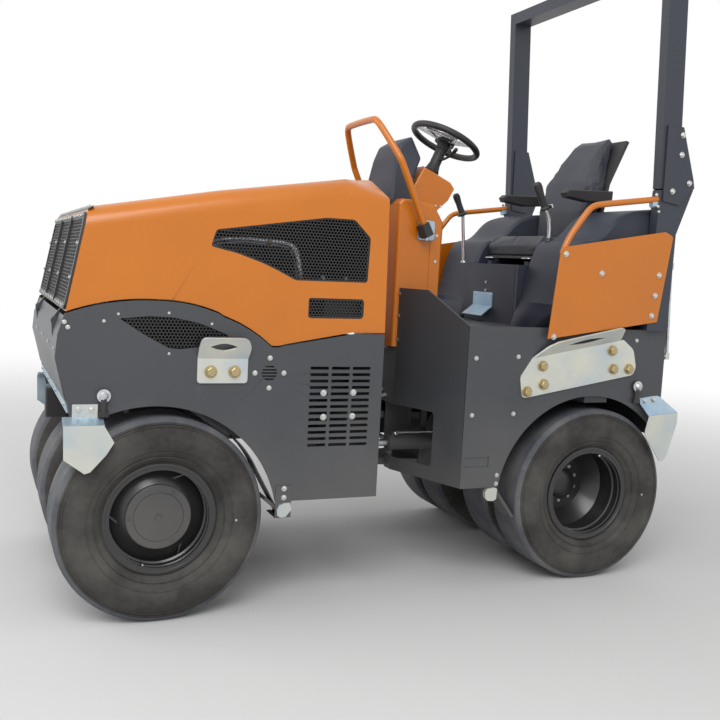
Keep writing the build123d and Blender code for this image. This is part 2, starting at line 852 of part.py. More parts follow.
def hoop_rail():
    foot = (-235, rail_y, 1525)
    top = 1995
    run = (top - foot[2]) * 0.53
    with BuildPart() as body:
        with BuildLine() as path:
            FilletPolyline((foot[0], rail_y, foot[2]), (foot[0] + run, rail_y, top),
                           (foot[0] + run, -rail_y, top), (foot[0], -rail_y, foot[2]), radius=55)
        with BuildSketch(Plane(origin=path.wires()[0] @ 0, z_dir=path.wires()[0] % 0)):
            Circle(rail_tube)
        sweep()
        for side in (1, -1):
            with Locations((foot[0], side * (console_half + 0.3 + 4), foot[2] - 6)):
                Box(80, 8, 80)
            with Locations((foot[0] - 4, side * (console_half + rail_y + 20) / 2, foot[2] - 10)):
                Box(36, rail_y + 20 - console_half - 8, 44)
    return body.part


def seat_box():
    with BuildPart() as body:
        with BuildSketch(side_plane(seat_box_half)):
            with BuildLine():
                Polyline([(seat_box_front, deck_top), (seat_box_front, seat_box_top), (-1210, seat_box_top),
                          (-1210, deck_top)], close=True)
            make_face()
        extrude(amount=2 * seat_box_half)
        fillet(body.edges().filter_by(Axis.Z).group_by(Axis.X)[-1], 12)
        for y in (-170, 170):
            with Locations((seat_mid, y, seat_box_top + seat_rail_height / 2)):
                Box(376, 36, seat_rail_height)
    return body.part


def seat_base():
    base = seat_box_top + seat_rail_height + 0.5
    wall = seat_shell_wall
    with BuildPart() as body:
        for y in (-170, 170):
            with Locations((seat_mid, y, base + seat_runner / 2)):
                Box(seat_pan_length - 40, 44, seat_runner)
        with Locations((seat_mid, 0, base + seat_runner + seat_pan / 2)):
            Box(seat_pan_length, 2 * seat_half, seat_pan)
        # Shell that carries the back cushion
        with BuildSketch(side_plane(seat_half)):
            with BuildLine():
                low, mid, high, top = seat_shell
                Polyline([(seat_mid - 110, base + seat_runner),
                          (seat_mid - 150, base + seat_runner + seat_pan), low, mid, high, top,
                          (top[0] - wall, top[1] - 6), (high[0] - wall, high[1] + 4),
                          (mid[0] - wall, mid[1]), (low[0] - wall, low[1]),
                          (seat_mid - 150, base + seat_runner)], close=True)
            make_face()
        extrude(amount=2 * seat_half)
        # Brackets that the armrests turn on
        x, z = armrest_pivot
        inner = seat_half - 1.5
        outer = armrest_inner - running_gap
        for side in (1, -1):
            with Locations((x - 14, side * (inner + outer) / 2, z)):
                Box(92, outer - inner, 52)
            with Locations(Location((x, side * (outer - armrest_pin_length / 2), z), (90, 0, 0))):
                Cylinder(armrest_pin_radius + running_gap, armrest_pin_length, mode=Mode.SUBTRACT)
    return body.part


def seat_cushion():
    base = seat_box_top + seat_rail_height + 0.5 + seat_runner + seat_pan + seat_fit
    front = seat_mid + seat_pan_length / 2 + 8
    with BuildPart() as body:
        with BuildSketch(side_plane(cushion_half)):
            with BuildLine():
                Polyline([(front - 12, base), (front, base + 50), (front - 30, base + 94), (-1000, base + 90),
                          (-1108, base + 102), (-1116, base)], close=True)
            make_face()
        extrude(amount=2 * cushion_half)
        fillet(body.edges().filter_by(Axis.Y).sort_by(Axis.Z)[-3:], 14)
        sides = [e for e in body.edges() if abs(e.center().Y) > cushion_half - 7 and e.center().Z > base + 30]
        fillet(sides, 12)
    return body.part


def seat_back():
    half = seat_half - 2
    with BuildPart() as body:
        with BuildSketch(side_plane(half)):
            with BuildLine():
                Polyline([(-1122, 1506), (-1119, 1665), (-1150, 1815), (-1212, 1935), (-1268, 2012),
                          (-1312, 2046), *[(x + shell_fit, z) for x, z in reversed(seat_shell)],
                          (-1170, 1486)], close=True)
            make_face()
        extrude(amount=2 * half)
        # The back narrows towards its head
        for side in (1, -1):
            with BuildSketch(section_plane(-900)):
                with BuildLine():
                    Polyline([(side * (half + 1), 1790), (side * 168, 1900), (side * 112, 2060),
                              (side * (half + 1), 2060)], close=True)
                make_face()
            extrude(amount=-500, mode=Mode.SUBTRACT)
        front = [e for e in body.edges() if abs(e.center().Y) > 100 and e.center().X > -1140 and
                 e.center().Z > 1540]
        fillet(front, 14)
    return body.part


def armrest(side):
    x, z = armrest_pivot
    with BuildPart() as body:
        with BuildSketch(side_plane(side * (armrest_inner + armrest_width / 2) + armrest_width / 2)):
            with BuildLine():
                Polyline([(x - 22, z + 28), (x + 225, z + 18), (x + 243, z + 2), (x + 232, z - 18),
                          (x + 110, z - 33), (x - 20, z - 24)], close=True)
            make_face()
        extrude(amount=armrest_width)
        middle = armrest_inner + armrest_width / 2
        fillet([e for e in body.edges() if abs(abs(e.center().Y) - middle) > 20 and e.center().X > x], 8)
        pin_inner = armrest_inner - running_gap - armrest_pin_length + 1
        pin_outer = armrest_inner + 2
        with Locations(Location((x, side * (pin_inner + pin_outer) / 2, z), (90, 0, 0))):
            Cylinder(armrest_pin_radius, pin_outer - pin_inner)
    return body.part


def side_mouldings():
    inner = seat_box_half + 0.3
    outer = 590
    with BuildPart() as body:
        with BuildSketch(side_plane(outer)):
            with BuildLine():
                Polyline([(-655, deck_top), (-664, 1250), (-692, 1420), (-728, 1492), (-765, moulding_top),
                          (-905, moulding_top), (-949, 1536), (-1026, 1625), (-1110, 1654),
                          (moulding_back, moulding_high), (moulding_back, deck_top)], close=True)
            make_face()
        extrude(amount=outer - inner)
        front = [e for e in body.edges() if e.center().X > -760 and e.center().Z > 1300]
        fillet(front, 14)
        with BuildSketch(section_plane(-500)):
            with BuildLine():
                Polyline([(outer + 1, 1240), (outer - 150, deck_top), (outer + 1, deck_top)], close=True)
            make_face()
        extrude(amount=-900, mode=Mode.SUBTRACT)
        mirror(about=Plane.XZ)
    return body.part


def rear_tank():
    # A body across the back, set in behind the seat, with a raised shoulder at each side
    back = rear_plate_back + plate
    front = moulding_back - seat_fit
    notch = seat_box_half + 22
    with BuildPart() as body:
        with BuildSketch(side_plane(notch)):
            with BuildLine():
                Polyline([(front, deck_top), (front, seat_box_top + 6), (tank_niche, seat_box_top + 28),
                          (tank_niche, rear_wall_high), (back, rear_wall_high), (back, deck_top)], close=True)
            make_face()
        extrude(amount=2 * notch)
        for side in (1, -1):
            with BuildSketch(section_plane(front)):
                with Locations((side * (notch + tank_half) / 2, (deck_top + moulding_high) / 2)):
                    Rectangle(tank_half - notch, moulding_high - deck_top)
            extrude(amount=back - front)
        shoulders = [e for e in body.edges() if e.center().Z > moulding_high - 1
                     and abs(e.center().Y) > tank_half - 1]
        fillet(shoulders, 16)
    return body.part


def side_panels():
    y = post_wall_y + post_width + 0.3 + 5
    with BuildPart() as body:
        with BuildSketch(side_plane(y)):
            with BuildLine():
                Polyline([(-620, 1083), (-676, 1466), (-1262, 1568), (-1290, 1556), (-1268, 1200)], close=True)
            make_face()
        extrude(amount=5)
        mirror(about=Plane.XZ)
    return body.part


def side_rails():
    y = post_wall_y + post_width - 12
    with BuildPart() as body:
        with BuildLine() as path:
            FilletPolyline((-700, y, 1440), (-905, y, 1655), (-1185, y, 1700), radius=60)
        with BuildSketch(Plane(origin=path.wires()[0] @ 0, z_dir=path.wires()[0] % 0)):
            Circle(12)
        sweep()
        mirror(about=Plane.XZ)
    return body.part


def roll_bar_feet():
    with BuildPart() as body:
        with BuildSketch(side_plane(post_wall_y + post_width)):
            with BuildLine():
                Polyline([(post_x - 4, post_foot), (post_x + post_depth + 10, post_foot),
                          (post_x + post_depth, fold_height), (post_x, fold_height), (post_x - 4, 1700),
                          (fold_pivot[0] - 24, fold_pivot[1] + 4), (fold_pivot[0] - 24, fold_pivot[1] - 22),
                          (post_x - 8, 1560)], close=True)
            make_face()
            with Locations(fold_pivot):
                Circle(25)
                Circle(fold_pin_radius + running_gap, mode=Mode.SUBTRACT)
        extrude(amount=post_width)
        mirror(about=Plane.XZ)
    return body.part


def roll_bar():
    slope = sin(radians(post_lean))
    rise = bar_top - fold_height
    base_z = fold_height + 6
    front = post_x + post_depth
    lean = slope * rise
    with BuildPart() as body:
        for side in (1, -1):
            with BuildSketch(side_plane(side * (post_wall_y + post_width / 2) + post_width / 2)):
                with BuildLine():
                    Polyline([(post_x + 40, base_z), (front, base_z), (front + lean, bar_top),
                              (post_x + lean, bar_top), (post_x, 1840)], close=True)
                make_face()
            extrude(amount=post_width)
            for wall in (post_wall_y - 0.5 - fold_plate / 2, post_wall_y + post_width + 0.5 + fold_plate / 2):
                with BuildSketch(side_plane(side * wall + fold_plate / 2)):
                    with BuildLine():
                        Polyline([(post_x + 4, 2030), (front - 10, 2030), (front - 14, 1702),
                                  (post_x - 4, 1690), (fold_pivot[0] - 22, fold_pivot[1] - 14),
                                  (fold_pivot[0] - 14, fold_pivot[1] + 22)], close=True)
                    make_face()
                extrude(amount=fold_plate)
            with Locations((front - 60, side * (post_wall_y + post_width / 2), 1945)):
                Box(80, post_width + 1, 150)
            post_mid = side * (post_wall_y + post_width / 2)
            with Locations(Location((fold_pivot[0], post_mid, fold_pivot[1]), (90, 0, 0))):
                Cylinder(fold_pin_radius, post_width + 2 * (0.5 + fold_plate))
        with Locations(((post_x + front) / 2 + lean - slope * bar_height / 2, 0, bar_top - bar_height / 2)):
            Box(post_depth, 2 * post_wall_y, bar_height)
    return body.part


def lifting_bracket(base_y, outline, slot, bolts, lip):
    length, height = slot
    with BuildPart() as body:
        lip_low, lip_high, lip_left, lip_right, lip_turn = lip
        with BuildSketch(side_plane(base_y + plate)) as face:
            with BuildLine():
                Polyline(outline, close=True)
            make_face()
            lip_ends = (min(outline, key=lambda p: abs(p[0] - lip_left) - p[1]),
                        min(outline, key=lambda p: abs(p[0] - lip_right) - p[1]))
            corners = [v for v in face.vertices() if (round(v.X), round(v.Y)) not in lip_ends]
            fillet(corners, bracket_corner)
            with Locations(*bolts):
                Circle(bracket_bolt_hole, mode=Mode.SUBTRACT)
        extrude(amount=plate)
        lean = radians(lip_lean)
        bent = Plane(origin=((lip_left + lip_right) / 2, base_y + plate / 2 + 1.5, lip_low),
                     x_dir=(cos(lip_turn), 0, sin(lip_turn)),
                     z_dir=(-sin(lip_turn) * sin(lean), -cos(lean), cos(lip_turn) * sin(lean)))
        with BuildSketch(bent):
            with Locations((0, (lip_high - lip_low) / 2 - 2)):
                Trapezoid(lip_right - lip_left, lip_high - lip_low + 4, 62)
            # Lens shaped lifting slot
            with BuildLine():
                centre = (lip_high - lip_low) / 2
                ThreePointArc((-length / 2, centre), (0, centre + height / 2), (length / 2, centre))
                ThreePointArc((-length / 2, centre), (0, centre - height / 2), (length / 2, centre))
            make_face(mode=Mode.SUBTRACT)
        extrude(amount=plate / 2, both=True)
        mirror(about=Plane.XZ)
    return body.part


def front_lifting_brackets():
    outline = [(649, 985), (649, 893), (840, 893), (840, 985)]
    bolts = [(700, 933), (790, 933)]
    return lifting_bracket(half_width, outline, (116, 30), bolts, (985, 1045, 649, 840, 0))


def rear_lifting_brackets():
    outline = [(-536, 931), (-560, 820), (-1123, 932), (-1133, 999), (-1053, 1079), (-597, 983)]
    bolts = [(-656, 950), (-1009, 1026), (-1023, 950), (-1103, 962), (-666, 879), (-583, 850)]
    turn = atan2(983 - 1079, -597 + 1053)
    return lifting_bracket(half_width, outline, (270, 34), bolts, (1031, 1079, -1050, -600, turn))


def round_tyre(axle_x, inward, radius, turn):
    # A point at a radius about the axle, turned up from the level towards the machine's middle
    return (axle_x - inward * radius * cos(radians(turn)), tyre_radius + radius * sin(radians(turn)))


def guards(axle_x, inward, outline, foot, bracket):
    # A flap beside the wheel on a sloping band, and a scraper strip on a bracket at the plate's lower corner
    x0, x1, z0, z1 = foot
    flap_y = half_width + guard_reach
    flap_top = max(z for _, z in outline)
    flap_xs = [x for x, z in outline if z > flap_top - 5]
    near = tyre_radius + scraper_gap
    far = near + scraper_sheet
    with BuildPart() as body:
        with BuildSketch(side_plane(half_width + guard_sheet)):
            with Locations(((x0 + x1) / 2, (z0 + z1) / 2)):
                Rectangle(x1 - x0, z1 - z0)
        extrude(amount=guard_sheet)
        with BuildSketch(section_plane(max(flap_xs))):
            with BuildLine():
                Polyline([(half_width, z0 + 6), (flap_y + guard_sheet, flap_top + 4),
                          (flap_y + guard_sheet, flap_top - 2), (flap_y, flap_top - 4),
                          (half_width, z0 - 2)], close=True)
            make_face()
        extrude(amount=min(flap_xs) - max(flap_xs))
        with BuildSketch(side_plane(flap_y + guard_sheet)):
            with BuildLine():
                Polyline(outline, close=True)
            make_face()
        extrude(amount=guard_sheet)
        # Bracket of the scraper: an upright sheet with its foot turned in
        bx0, bx1, bz0, bz1 = bracket
        with BuildSketch(side_plane(half_width + guard_sheet)):
            with Locations(((bx0 + bx1) / 2, (bz0 + bz1) / 2)):
                Rectangle(bx1 - bx0, bz1 - bz0)
        extrude(amount=guard_sheet)
        foot_outer = half_width + guard_sheet
        foot_inner = scraper_outer_y - scraper_width
        with BuildSketch(Plane.XY.offset(bz0)):
            with Locations(((bx0 + bx1) / 2, (foot_outer + foot_inner) / 2)):
                Rectangle(bx1 - bx0, foot_outer - foot_inner)
        extrude(amount=guard_sheet)
        # Strip: round the tyre above, and down to the bracket's foot below
        with BuildSketch(side_plane(scraper_outer_y)):
            with BuildLine():
                foot_x = (bx0 + bx1) / 2
                inner = [round_tyre(axle_x, inward, near, turn) for turn in scraper_turns]
                outer = [round_tyre(axle_x, inward, far, turn) for turn in scraper_turns]
                ThreePointArc(*inner)
                ThreePointArc(*outer)
                Line(inner[0], outer[0])
                Polyline(inner[2], (foot_x + inward * scraper_sheet, bz0 + 1), (foot_x, bz0 + 1), outer[2])
            make_face()
        extrude(amount=scraper_width)
        mirror(about=Plane.XZ)
    return body.part


def front_guards():
    outline = [(1310, 748), (1171, 748), (1137, 690), (1164, 646), (1217, 587), (1237, 581), (1308, 633)]
    return guards(front_axle_x, 1, outline, (1190, 1277, 768, 819), (454, 518, 366, 492))


def rear_guards():
    outline = [(-1196, 790), (-1345, 790), (-1370, 752), (-1297, 540), (-1189, 654), (-1210, 752)]
    return guards(rear_axle_x, -1, outline, (-1262, -1168, 806, 850), (-514, -424, 382, 503))


def engine_block():
    with BuildPart() as body:
        with Locations((725, 0, rail_bottom + rail_height + 210)):
            Box(640, 460, 420)
        fillet(body.edges().filter_by(Axis.X), 20)
    return body.part


def front_grille():
    # A slotted sheet on the hood's nose, in bays between upright ribs
    slope = atan2(hood_nose_low[0] - hood_nose_high[0], hood_nose_high[1] - hood_nose_low[1])
    stand = 0.3
    middle = (grille_low + grille_high) / 2
    nose = Plane(origin=(nose_x(middle) + stand, 0, middle), x_dir=(0, 1, 0), z_dir=(cos(slope), 0, sin(slope)))
    height = (grille_high - grille_low) / cos(slope)
    bay = (2 * grille_half - 2 * grille_border - (grille_bays - 1) * grille_rib) / grille_bays
    row = (height - 2 * grille_border) / grille_rows
    with BuildPart() as body:
        with BuildSketch(nose):
            RectangleRounded(2 * grille_half, height, 18)
            with GridLocations(bay + grille_rib, row, grille_bays, grille_rows):
                Rectangle(bay, row - screen_bar, mode=Mode.SUBTRACT)
        extrude(amount=grille_sheet)
        # Ribs stand proud of the sheet
        with BuildSketch(nose.offset(grille_sheet)):
            with GridLocations(bay + grille_rib, 1, grille_bays - 1, 1):
                Rectangle(grille_rib - 12, height - 20)
        extrude(amount=6)
    return body.part


def control_lever():
    # One lever each side of the seat, the left one on the moulding and the right one on the seat box
    foot = moulding_top + seat_fit
    left = [(-872, 288, foot), (-872, 288, foot + 75.7), (-842, 288, foot + 177.7)]
    foot = seat_box_top + seat_fit
    right = [(-748, -222, foot), (-748, -222, foot + 97.7), (-730, -222, foot + 197.7),
             (-692, -222, foot + 272.7)]
    with BuildPart() as body:
        for points in (left, right):
            with BuildLine() as path:
                FilletPolyline(*points, radius=60)
            wire = path.wires()[0]
            with BuildSketch(Plane(origin=wire @ 0, z_dir=wire % 0)):
                Circle(lever_rod)
            sweep()
            grip = Plane(origin=wire @ 1, z_dir=wire % 1)
            with BuildSketch(grip):
                Circle(lever_grip_foot)
            with BuildSketch(grip.offset(lever_grip)):
                Circle(lever_grip_head)
            loft()
    return body.part


def foot_plate():
    front = seat_box_front + seat_fit
    with BuildPart() as body:
        with BuildSketch(side_plane(46)):
            with BuildLine():
                Polyline([(front, 1252), (front + 3, 1252), (front + 3, 1186), (front + 62, 1140),
                          (front + 60, 1137), (front, 1182)], close=True)
            make_face()
        extrude(amount=184)
    return body.part


def main():
    for name, y in (("left", front_pitch), ("centre", 0), ("right", -front_pitch)):
        save(tyre(front_axle_x, y), f"front_tyre_{name}")
    for name, side in (("left", 1), ("right", -1)):
        save(front_outer_rim(side), f"front_rim_{name}")
        save(twin_tyres(side), f"rear_tyres_{name}")
        save(rear_twin_rim(side), f"rear_rim_{name}")
        save(armrest(side), f"armrest_{name}")
    pieces = (front_centre_rim, front_axle, rear_axle, front_side_plates, louvre_panels, front_chassis,
              nose_panel, engine_block, hood, hood_screens, front_grille, rear_side_plates, bulkhead,
              operator_deck, rear_chassis,
              centre_joint, steering_barrel, steering_rod, console, steering_column, steering_wheel,
              instrument_pod, hoop_rail, seat_box, seat_base, seat_cushion, seat_back, side_mouldings, rear_tank,
              side_panels, side_rails, roll_bar_feet, roll_bar, front_lifting_brackets, rear_lifting_brackets,
              front_guards, rear_guards, control_lever, foot_plate)
    for piece in pieces:
        name = "front_rim_centre" if piece is front_centre_rim else piece.__name__
        save(piece(), name)


main()
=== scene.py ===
"""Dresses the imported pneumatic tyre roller: paint, rubber, seat, screens, bolts, fittings and a plain studio."""
import json
import math

import bmesh
import bpy
from mathutils import Matrix, Vector


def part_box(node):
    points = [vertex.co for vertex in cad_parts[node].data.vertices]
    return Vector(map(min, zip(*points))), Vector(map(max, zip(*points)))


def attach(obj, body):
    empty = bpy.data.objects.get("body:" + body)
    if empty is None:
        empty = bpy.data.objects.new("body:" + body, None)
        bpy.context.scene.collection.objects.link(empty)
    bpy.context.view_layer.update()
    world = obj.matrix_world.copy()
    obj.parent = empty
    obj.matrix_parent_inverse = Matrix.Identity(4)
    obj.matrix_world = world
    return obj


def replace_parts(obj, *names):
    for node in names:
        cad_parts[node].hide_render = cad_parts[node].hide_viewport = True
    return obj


bl_info = {
    "name": "Pneumatic Tyre Roller",
    "version": (1, 0, 0),
    "blender": (4, 5, 0),
    "location": "View3D > Sidebar > Roller",
    "description": "Finishes and small pieces for a pneumatic tyre roller",
    "category": "Object",
}

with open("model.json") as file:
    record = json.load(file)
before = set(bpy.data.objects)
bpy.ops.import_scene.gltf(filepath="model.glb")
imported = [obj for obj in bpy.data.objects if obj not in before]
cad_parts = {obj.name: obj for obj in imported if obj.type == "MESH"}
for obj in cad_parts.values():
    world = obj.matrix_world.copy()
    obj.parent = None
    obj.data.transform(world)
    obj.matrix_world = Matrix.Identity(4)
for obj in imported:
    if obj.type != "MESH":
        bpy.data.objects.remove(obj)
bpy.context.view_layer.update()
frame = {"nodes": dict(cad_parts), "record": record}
nodes = frame["nodes"]

MM = 0.001


def tone(red, green, blue):
    """A colour given in 0 to 255 display values, as the linear values that Blender keeps."""
    def linear(value):
        value = value / 255
        return value / 12.92 if value <= 0.04045 else ((value + 0.055) / 1.055) ** 2.4
    return (linear(red), linear(green), linear(blue))


# Settings

def paint_setting(name, use, *display):
    return bpy.props.FloatVectorProperty(name=name, description=use, subtype="COLOR", size=3, min=0, max=1,
                                         default=tone(*display))


def number_setting(name, use, default, low, high, unit="NONE"):
    return bpy.props.FloatProperty(name=name, description=use, default=default, min=low, max=high, unit=unit)


class RollerFinishes(bpy.types.PropertyGroup):
    """Colours of the machine's paints, plastics and rubber"""
    orange: paint_setting("Orange paint", "Hood, console and side panels", 205, 115, 4)
    plate: paint_setting("Plate paint", "Side plates and bulkhead", 66, 68, 72)
    frame: paint_setting("Frame paint", "Chassis, axles and centre joint", 44, 45, 49)
    roll_bar: paint_setting("Roll bar paint", "Roll bar and its feet", 47, 52, 63)
    navy: paint_setting("Navy plastic", "Side mouldings and instrument pod", 37, 43, 59)
    vinyl: paint_setting("Seat vinyl", "Seat cushion and back", 37, 42, 56)
    sidewall: paint_setting("Tyre sidewall", "Rubber of the sidewalls", 48, 46, 44)
    # The tread's pale bluish grey is partly road dust and partly painted sky light on the lit tread
    tread: paint_setting("Tyre tread", "Dusty rubber of the smooth treads", 76, 79, 86)


class RollerStage(bpy.types.PropertyGroup):
    """Camera, lamps and floor"""
    focal_length: number_setting("Focal length", "Lens of the camera in millimetres", 46.23, 20, 200)
    world_strength: number_setting("Room light", "Even light from all round", 0.60, 0, 3)
    key_power: number_setting("Key light", "Power of the large soft lamp at the left", 260, 0, 3000, "POWER")
    fill_power: number_setting("Fill light", "Power of the soft lamp over the front", 110, 0, 3000, "POWER")
    floor_tone: number_setting("Floor tone", "Grey value of the plain floor", 0.70, 0, 1)


# Finishes

class Finish:
    """A procedural material, built round one principled shader."""

    def __init__(self, name):
        self.material = bpy.data.materials.new(name)
        self.material.use_nodes = True
        self.tree = self.material.node_tree
        self.shader = self.tree.nodes["Principled BSDF"]
        self.place = self.tree.nodes.new("ShaderNodeTexCoord").outputs["Object"]

    def link(self, source, target):
        self.tree.links.new(source, target)

    def set(self, **values):
        for name, value in values.items():
            self.shader.inputs[name.replace("_", " ").title()].default_value = value

    def noise(self, scale, detail=4, stretch=None, kind="ShaderNodeTexNoise"):
        node = self.tree.nodes.new(kind)
        node.inputs["Scale"].default_value = scale
        if "Detail" in node.inputs:
            node.inputs["Detail"].default_value = detail
        source = self.place
        if stretch:
            scaled = self.tree.nodes.new("ShaderNodeMapping")
            scaled.inputs["Scale"].default_value = stretch
            self.link(source, scaled.inputs["Vector"])
            source = scaled.outputs["Vector"]
        self.link(source, node.inputs["Vector"])
        return node.outputs["Fac"] if "Fac" in node.outputs else node.outputs["Distance"]

    def ramp(self, source, *stops):
        node = self.tree.nodes.new("ShaderNodeValToRGB")
        elements = node.color_ramp.elements
        while len(elements) < len(stops):
            elements.new(0.5)
        for element, (position, value) in zip(elements, stops):
            element.position = position
            element.color = (*value, 1) if hasattr(value, "__len__") else (value, value, value, 1)
        self.link(source, node.inputs["Fac"])
        return node.outputs["Color"]

    def feed(self, sockets, values):
        """Links each value that is a socket and sets the others."""
        for socket, value in zip(sockets, values):
            if isinstance(value, bpy.types.NodeSocket):
                self.link(value, socket)
            else:
                socket.default_value = (*value, 1) if hasattr(value, "__len__") else value

    def mix(self, share, first, second):
        node = self.tree.nodes.new("ShaderNodeMix")
        node.data_type = "RGBA"
        self.feed([i for i in node.inputs if i.enabled], (share, first, second))
        return [o for o in node.outputs if o.enabled][0]

    def blend(self, source, low, high, first, second):
        """One colour where the source is low and another where it is high."""
        return self.mix(self.ramp(source, (low, 0.0), (high, 1.0)), first, second)

    def math(self, kind, first, second):
        node = self.tree.nodes.new("ShaderNodeMath")
        node.operation = kind
        self.feed(node.inputs, (first, second))
        return node.outputs["Value"]

    def axis(self, name):
        node = self.tree.nodes.new("ShaderNodeSeparateXYZ")
        self.link(self.place, node.inputs["Vector"])
        return node.outputs[name]

    def colour(self, source):
        self.link(source, self.shader.inputs["Base Color"])

    def rough(self, source):
        self.link(source, self.shader.inputs["Roughness"])

    def bump(self, source, strength, distance):
        node = self.tree.nodes.new("ShaderNodeBump")
        node.inputs["Strength"].default_value = strength
        node.inputs["Distance"].default_value = distance
        self.link(source, node.inputs["Height"])
        self.link(node.outputs["Normal"], self.shader.inputs["Normal"])


def darker(colour, share):
    return tuple(c * share for c in colour[:3])


DUST = (0.5, 0.47, 0.42)


def paler(colour, share):
    return tuple(c + (t - c) * share for c, t in zip(colour[:3], DUST))


def paint(name, colour, gloss, dust):
    """Sprayed paint: fine orange peel, patches of wear in its gloss and dust that gathers low down."""
    finish = Finish(name)
    finish.set(coat_weight=gloss * 0.5, coat_roughness=0.18)
    patches = finish.noise(3.2, 5)
    height = finish.math("MULTIPLY", finish.axis("Z"), -1.1)
    low = finish.math("ADD", finish.math("ADD", height, 1.0), finish.math("MULTIPLY", patches, 0.5))
    dusty = finish.ramp(low, (0.35, 0.0), (1.0, dust * 3))
    shade = finish.blend(patches, 0.3, 0.75, darker(colour, 0.90), colour)
    finish.colour(finish.mix(dusty, shade, paler(colour, 0.45)))
    finish.rough(finish.ramp(patches, (0.2, 0.58 - gloss * 0.32), (0.8, 0.70 - gloss * 0.32)))
    finish.bump(finish.noise(260, 2), 0.10, 0.0006)
    return finish.material


def zinc(name, warm=(0.66, 0.66, 0.57), cold=(0.50, 0.56, 0.60)):
    """Zinc plate: pale, with cloudy warm and blue passivation and fine rolling marks."""
    finish = Finish(name)
    finish.set(metallic=0.75)
    clouds = finish.noise(7, 5)
    finish.colour(finish.blend(clouds, 0.35, 0.7, warm, cold))
    streaks = finish.noise(30, 3, stretch=(1, 1, 12))
    finish.rough(finish.ramp(streaks, (0.3, 0.34), (0.7, 0.52)))
    finish.bump(streaks, 0.06, 0.0005)
    return finish.material


def metal(name, colour, roughness, scale=60):
    finish = Finish(name)
    finish.set(metallic=1.0)
    marks = finish.noise(scale, 4)
    finish.colour(finish.blend(marks, 0.35, 0.75, colour, darker(colour, 0.72)))
    finish.rough(finish.ramp(marks, (0.3, roughness), (0.8, min(1.0, roughness + 0.2))))
    return finish.material


def moulded(name, colour, roughness):
    """Moulded plastic with a fine pebble grain."""
    finish = Finish(name)
    patches = finish.noise(4, 4)
    finish.colour(finish.blend(patches, 0.3, 0.8, colour, paler(colour, 0.06)))
    finish.rough(finish.ramp(patches, (0.25, roughness - 0.06), (0.8, roughness + 0.10)))
    finish.bump(finish.noise(900, 1, kind="ShaderNodeTexVoronoi"), 0.25, 0.0004)
    return finish.material


def vinyl(name, colour):
    """Seat vinyl: leather grain over a soft sheen."""
    finish = Finish(name)
    finish.set(sheen_weight=0.12, sheen_roughness=0.5)
    patches = finish.noise(9, 4)
    finish.colour(finish.blend(patches, 0.3, 0.8, colour, paler(colour, 0.08)))
    finish.rough(finish.ramp(patches, (0.2, 0.46), (0.8, 0.62)))
    finish.bump(finish.noise(420, 2, kind="ShaderNodeTexVoronoi"), 0.35, 0.0006)
    return finish.material


def rubber(name, colour, dusty):
    """Tyre rubber with road dust in patches and fine scuffs."""
    finish = Finish(name)
    patches = finish.noise(6, 6)
    scuffs = finish.noise(45, 5)
    worn = finish.mix(finish.ramp(scuffs, (0.35, 0.0), (0.7, 0.5)), colour, darker(colour, 0.72))
    finish.colour(finish.mix(finish.ramp(patches, (0.38, 0.0), (0.72, dusty)), worn, paler(colour, 0.35)))
    finish.rough(finish.ramp(scuffs, (0.2, 0.62), (0.8, 0.86)))
    finish.bump(finish.noise(220, 4), 0.25, 0.0008)
    return finish.material


materials = {}


def make_finishes():
    colours = bpy.context.scene.roller_finishes
    materials.update(
        orange=paint("Orange gloss paint", tuple(colours.orange), 0.75, 0.03),
        plate=paint("Dark grey satin paint", tuple(colours.plate), 0.38, 0.10),
        chassis=paint("Frame paint", tuple(colours.frame), 0.30, 0.12),
        roll_bar=paint("Roll bar paint", tuple(colours.roll_bar), 0.42, 0.02),
        rim=paint("Gloss black rim paint", (0.012, 0.012, 0.014), 0.95, 0.02),
        zinc=zinc("Zinc plated sheet"),
        blue_zinc=zinc("Blue passivated zinc", (0.30, 0.44, 0.58), (0.52, 0.62, 0.66)),
        steel=metal("Bright steel", (0.62, 0.63, 0.65), 0.22),
        bolt=metal("Plated bolts", (0.66, 0.66, 0.64), 0.30, 400),
        old_bolt=metal("Yellow plated bolts", (0.52, 0.42, 0.24), 0.42, 300),
        navy_plastic=moulded("Navy moulded plastic", tuple(colours.navy), 0.52),
        black_plastic=moulded("Black moulded plastic", (0.016, 0.016, 0.019), 0.48),
        seat_vinyl=vinyl("Navy seat vinyl", tuple(colours.vinyl)),
        mesh=paint("Black screen paint", (0.022, 0.022, 0.024), 0.3, 0.02),
        tyre=rubber("Tyre sidewall rubber", tuple(colours.sidewall), 0.35),
        tread=rubber("Tyre tread rubber", tuple(colours.tread), 0.55),
    )


# Building small pieces

def placed(name, data):
    """A new object in the scene."""
    thing = bpy.data.objects.new(name, data)
    bpy.context.scene.collection.objects.link(thing)
    return thing


def drawn_mesh(name, points, faces):
    """A mesh whose faces all look outwards."""
    mesh = bpy.data.meshes.new(name)
    mesh.from_pydata([tuple(p) for p in points], [], faces)
    work = bmesh.new()
    work.from_mesh(mesh)
    bmesh.ops.recalc_face_normals(work, faces=work.faces)
    work.to_mesh(mesh)
    work.free()
    return mesh


def polar(radius, turn):
    return radius * math.cos(turn), radius * math.sin(turn)


def circle(radius, steps):
    return [polar(radius, math.tau * k / steps) for k in range(steps)]


def walls(rings, count, caps=False):
    """Faces between neighbouring rings of as many points, and over the first and last ring."""
    faces = []
    for row in range(0, (rings - 1) * count, count):
        for k in range(count):
            a, b = row + k, row + (k + 1) % count
            faces.append([a, b, b + count, a + count])
    if caps:
        faces += [list(range(count))[::-1], list(range((rings - 1) * count, rings * count))]
    return faces


def at(place, spot):
    """A point given in a place's own axes, in millimetres."""
    return place @ (Vector(spot) * MM) / MM


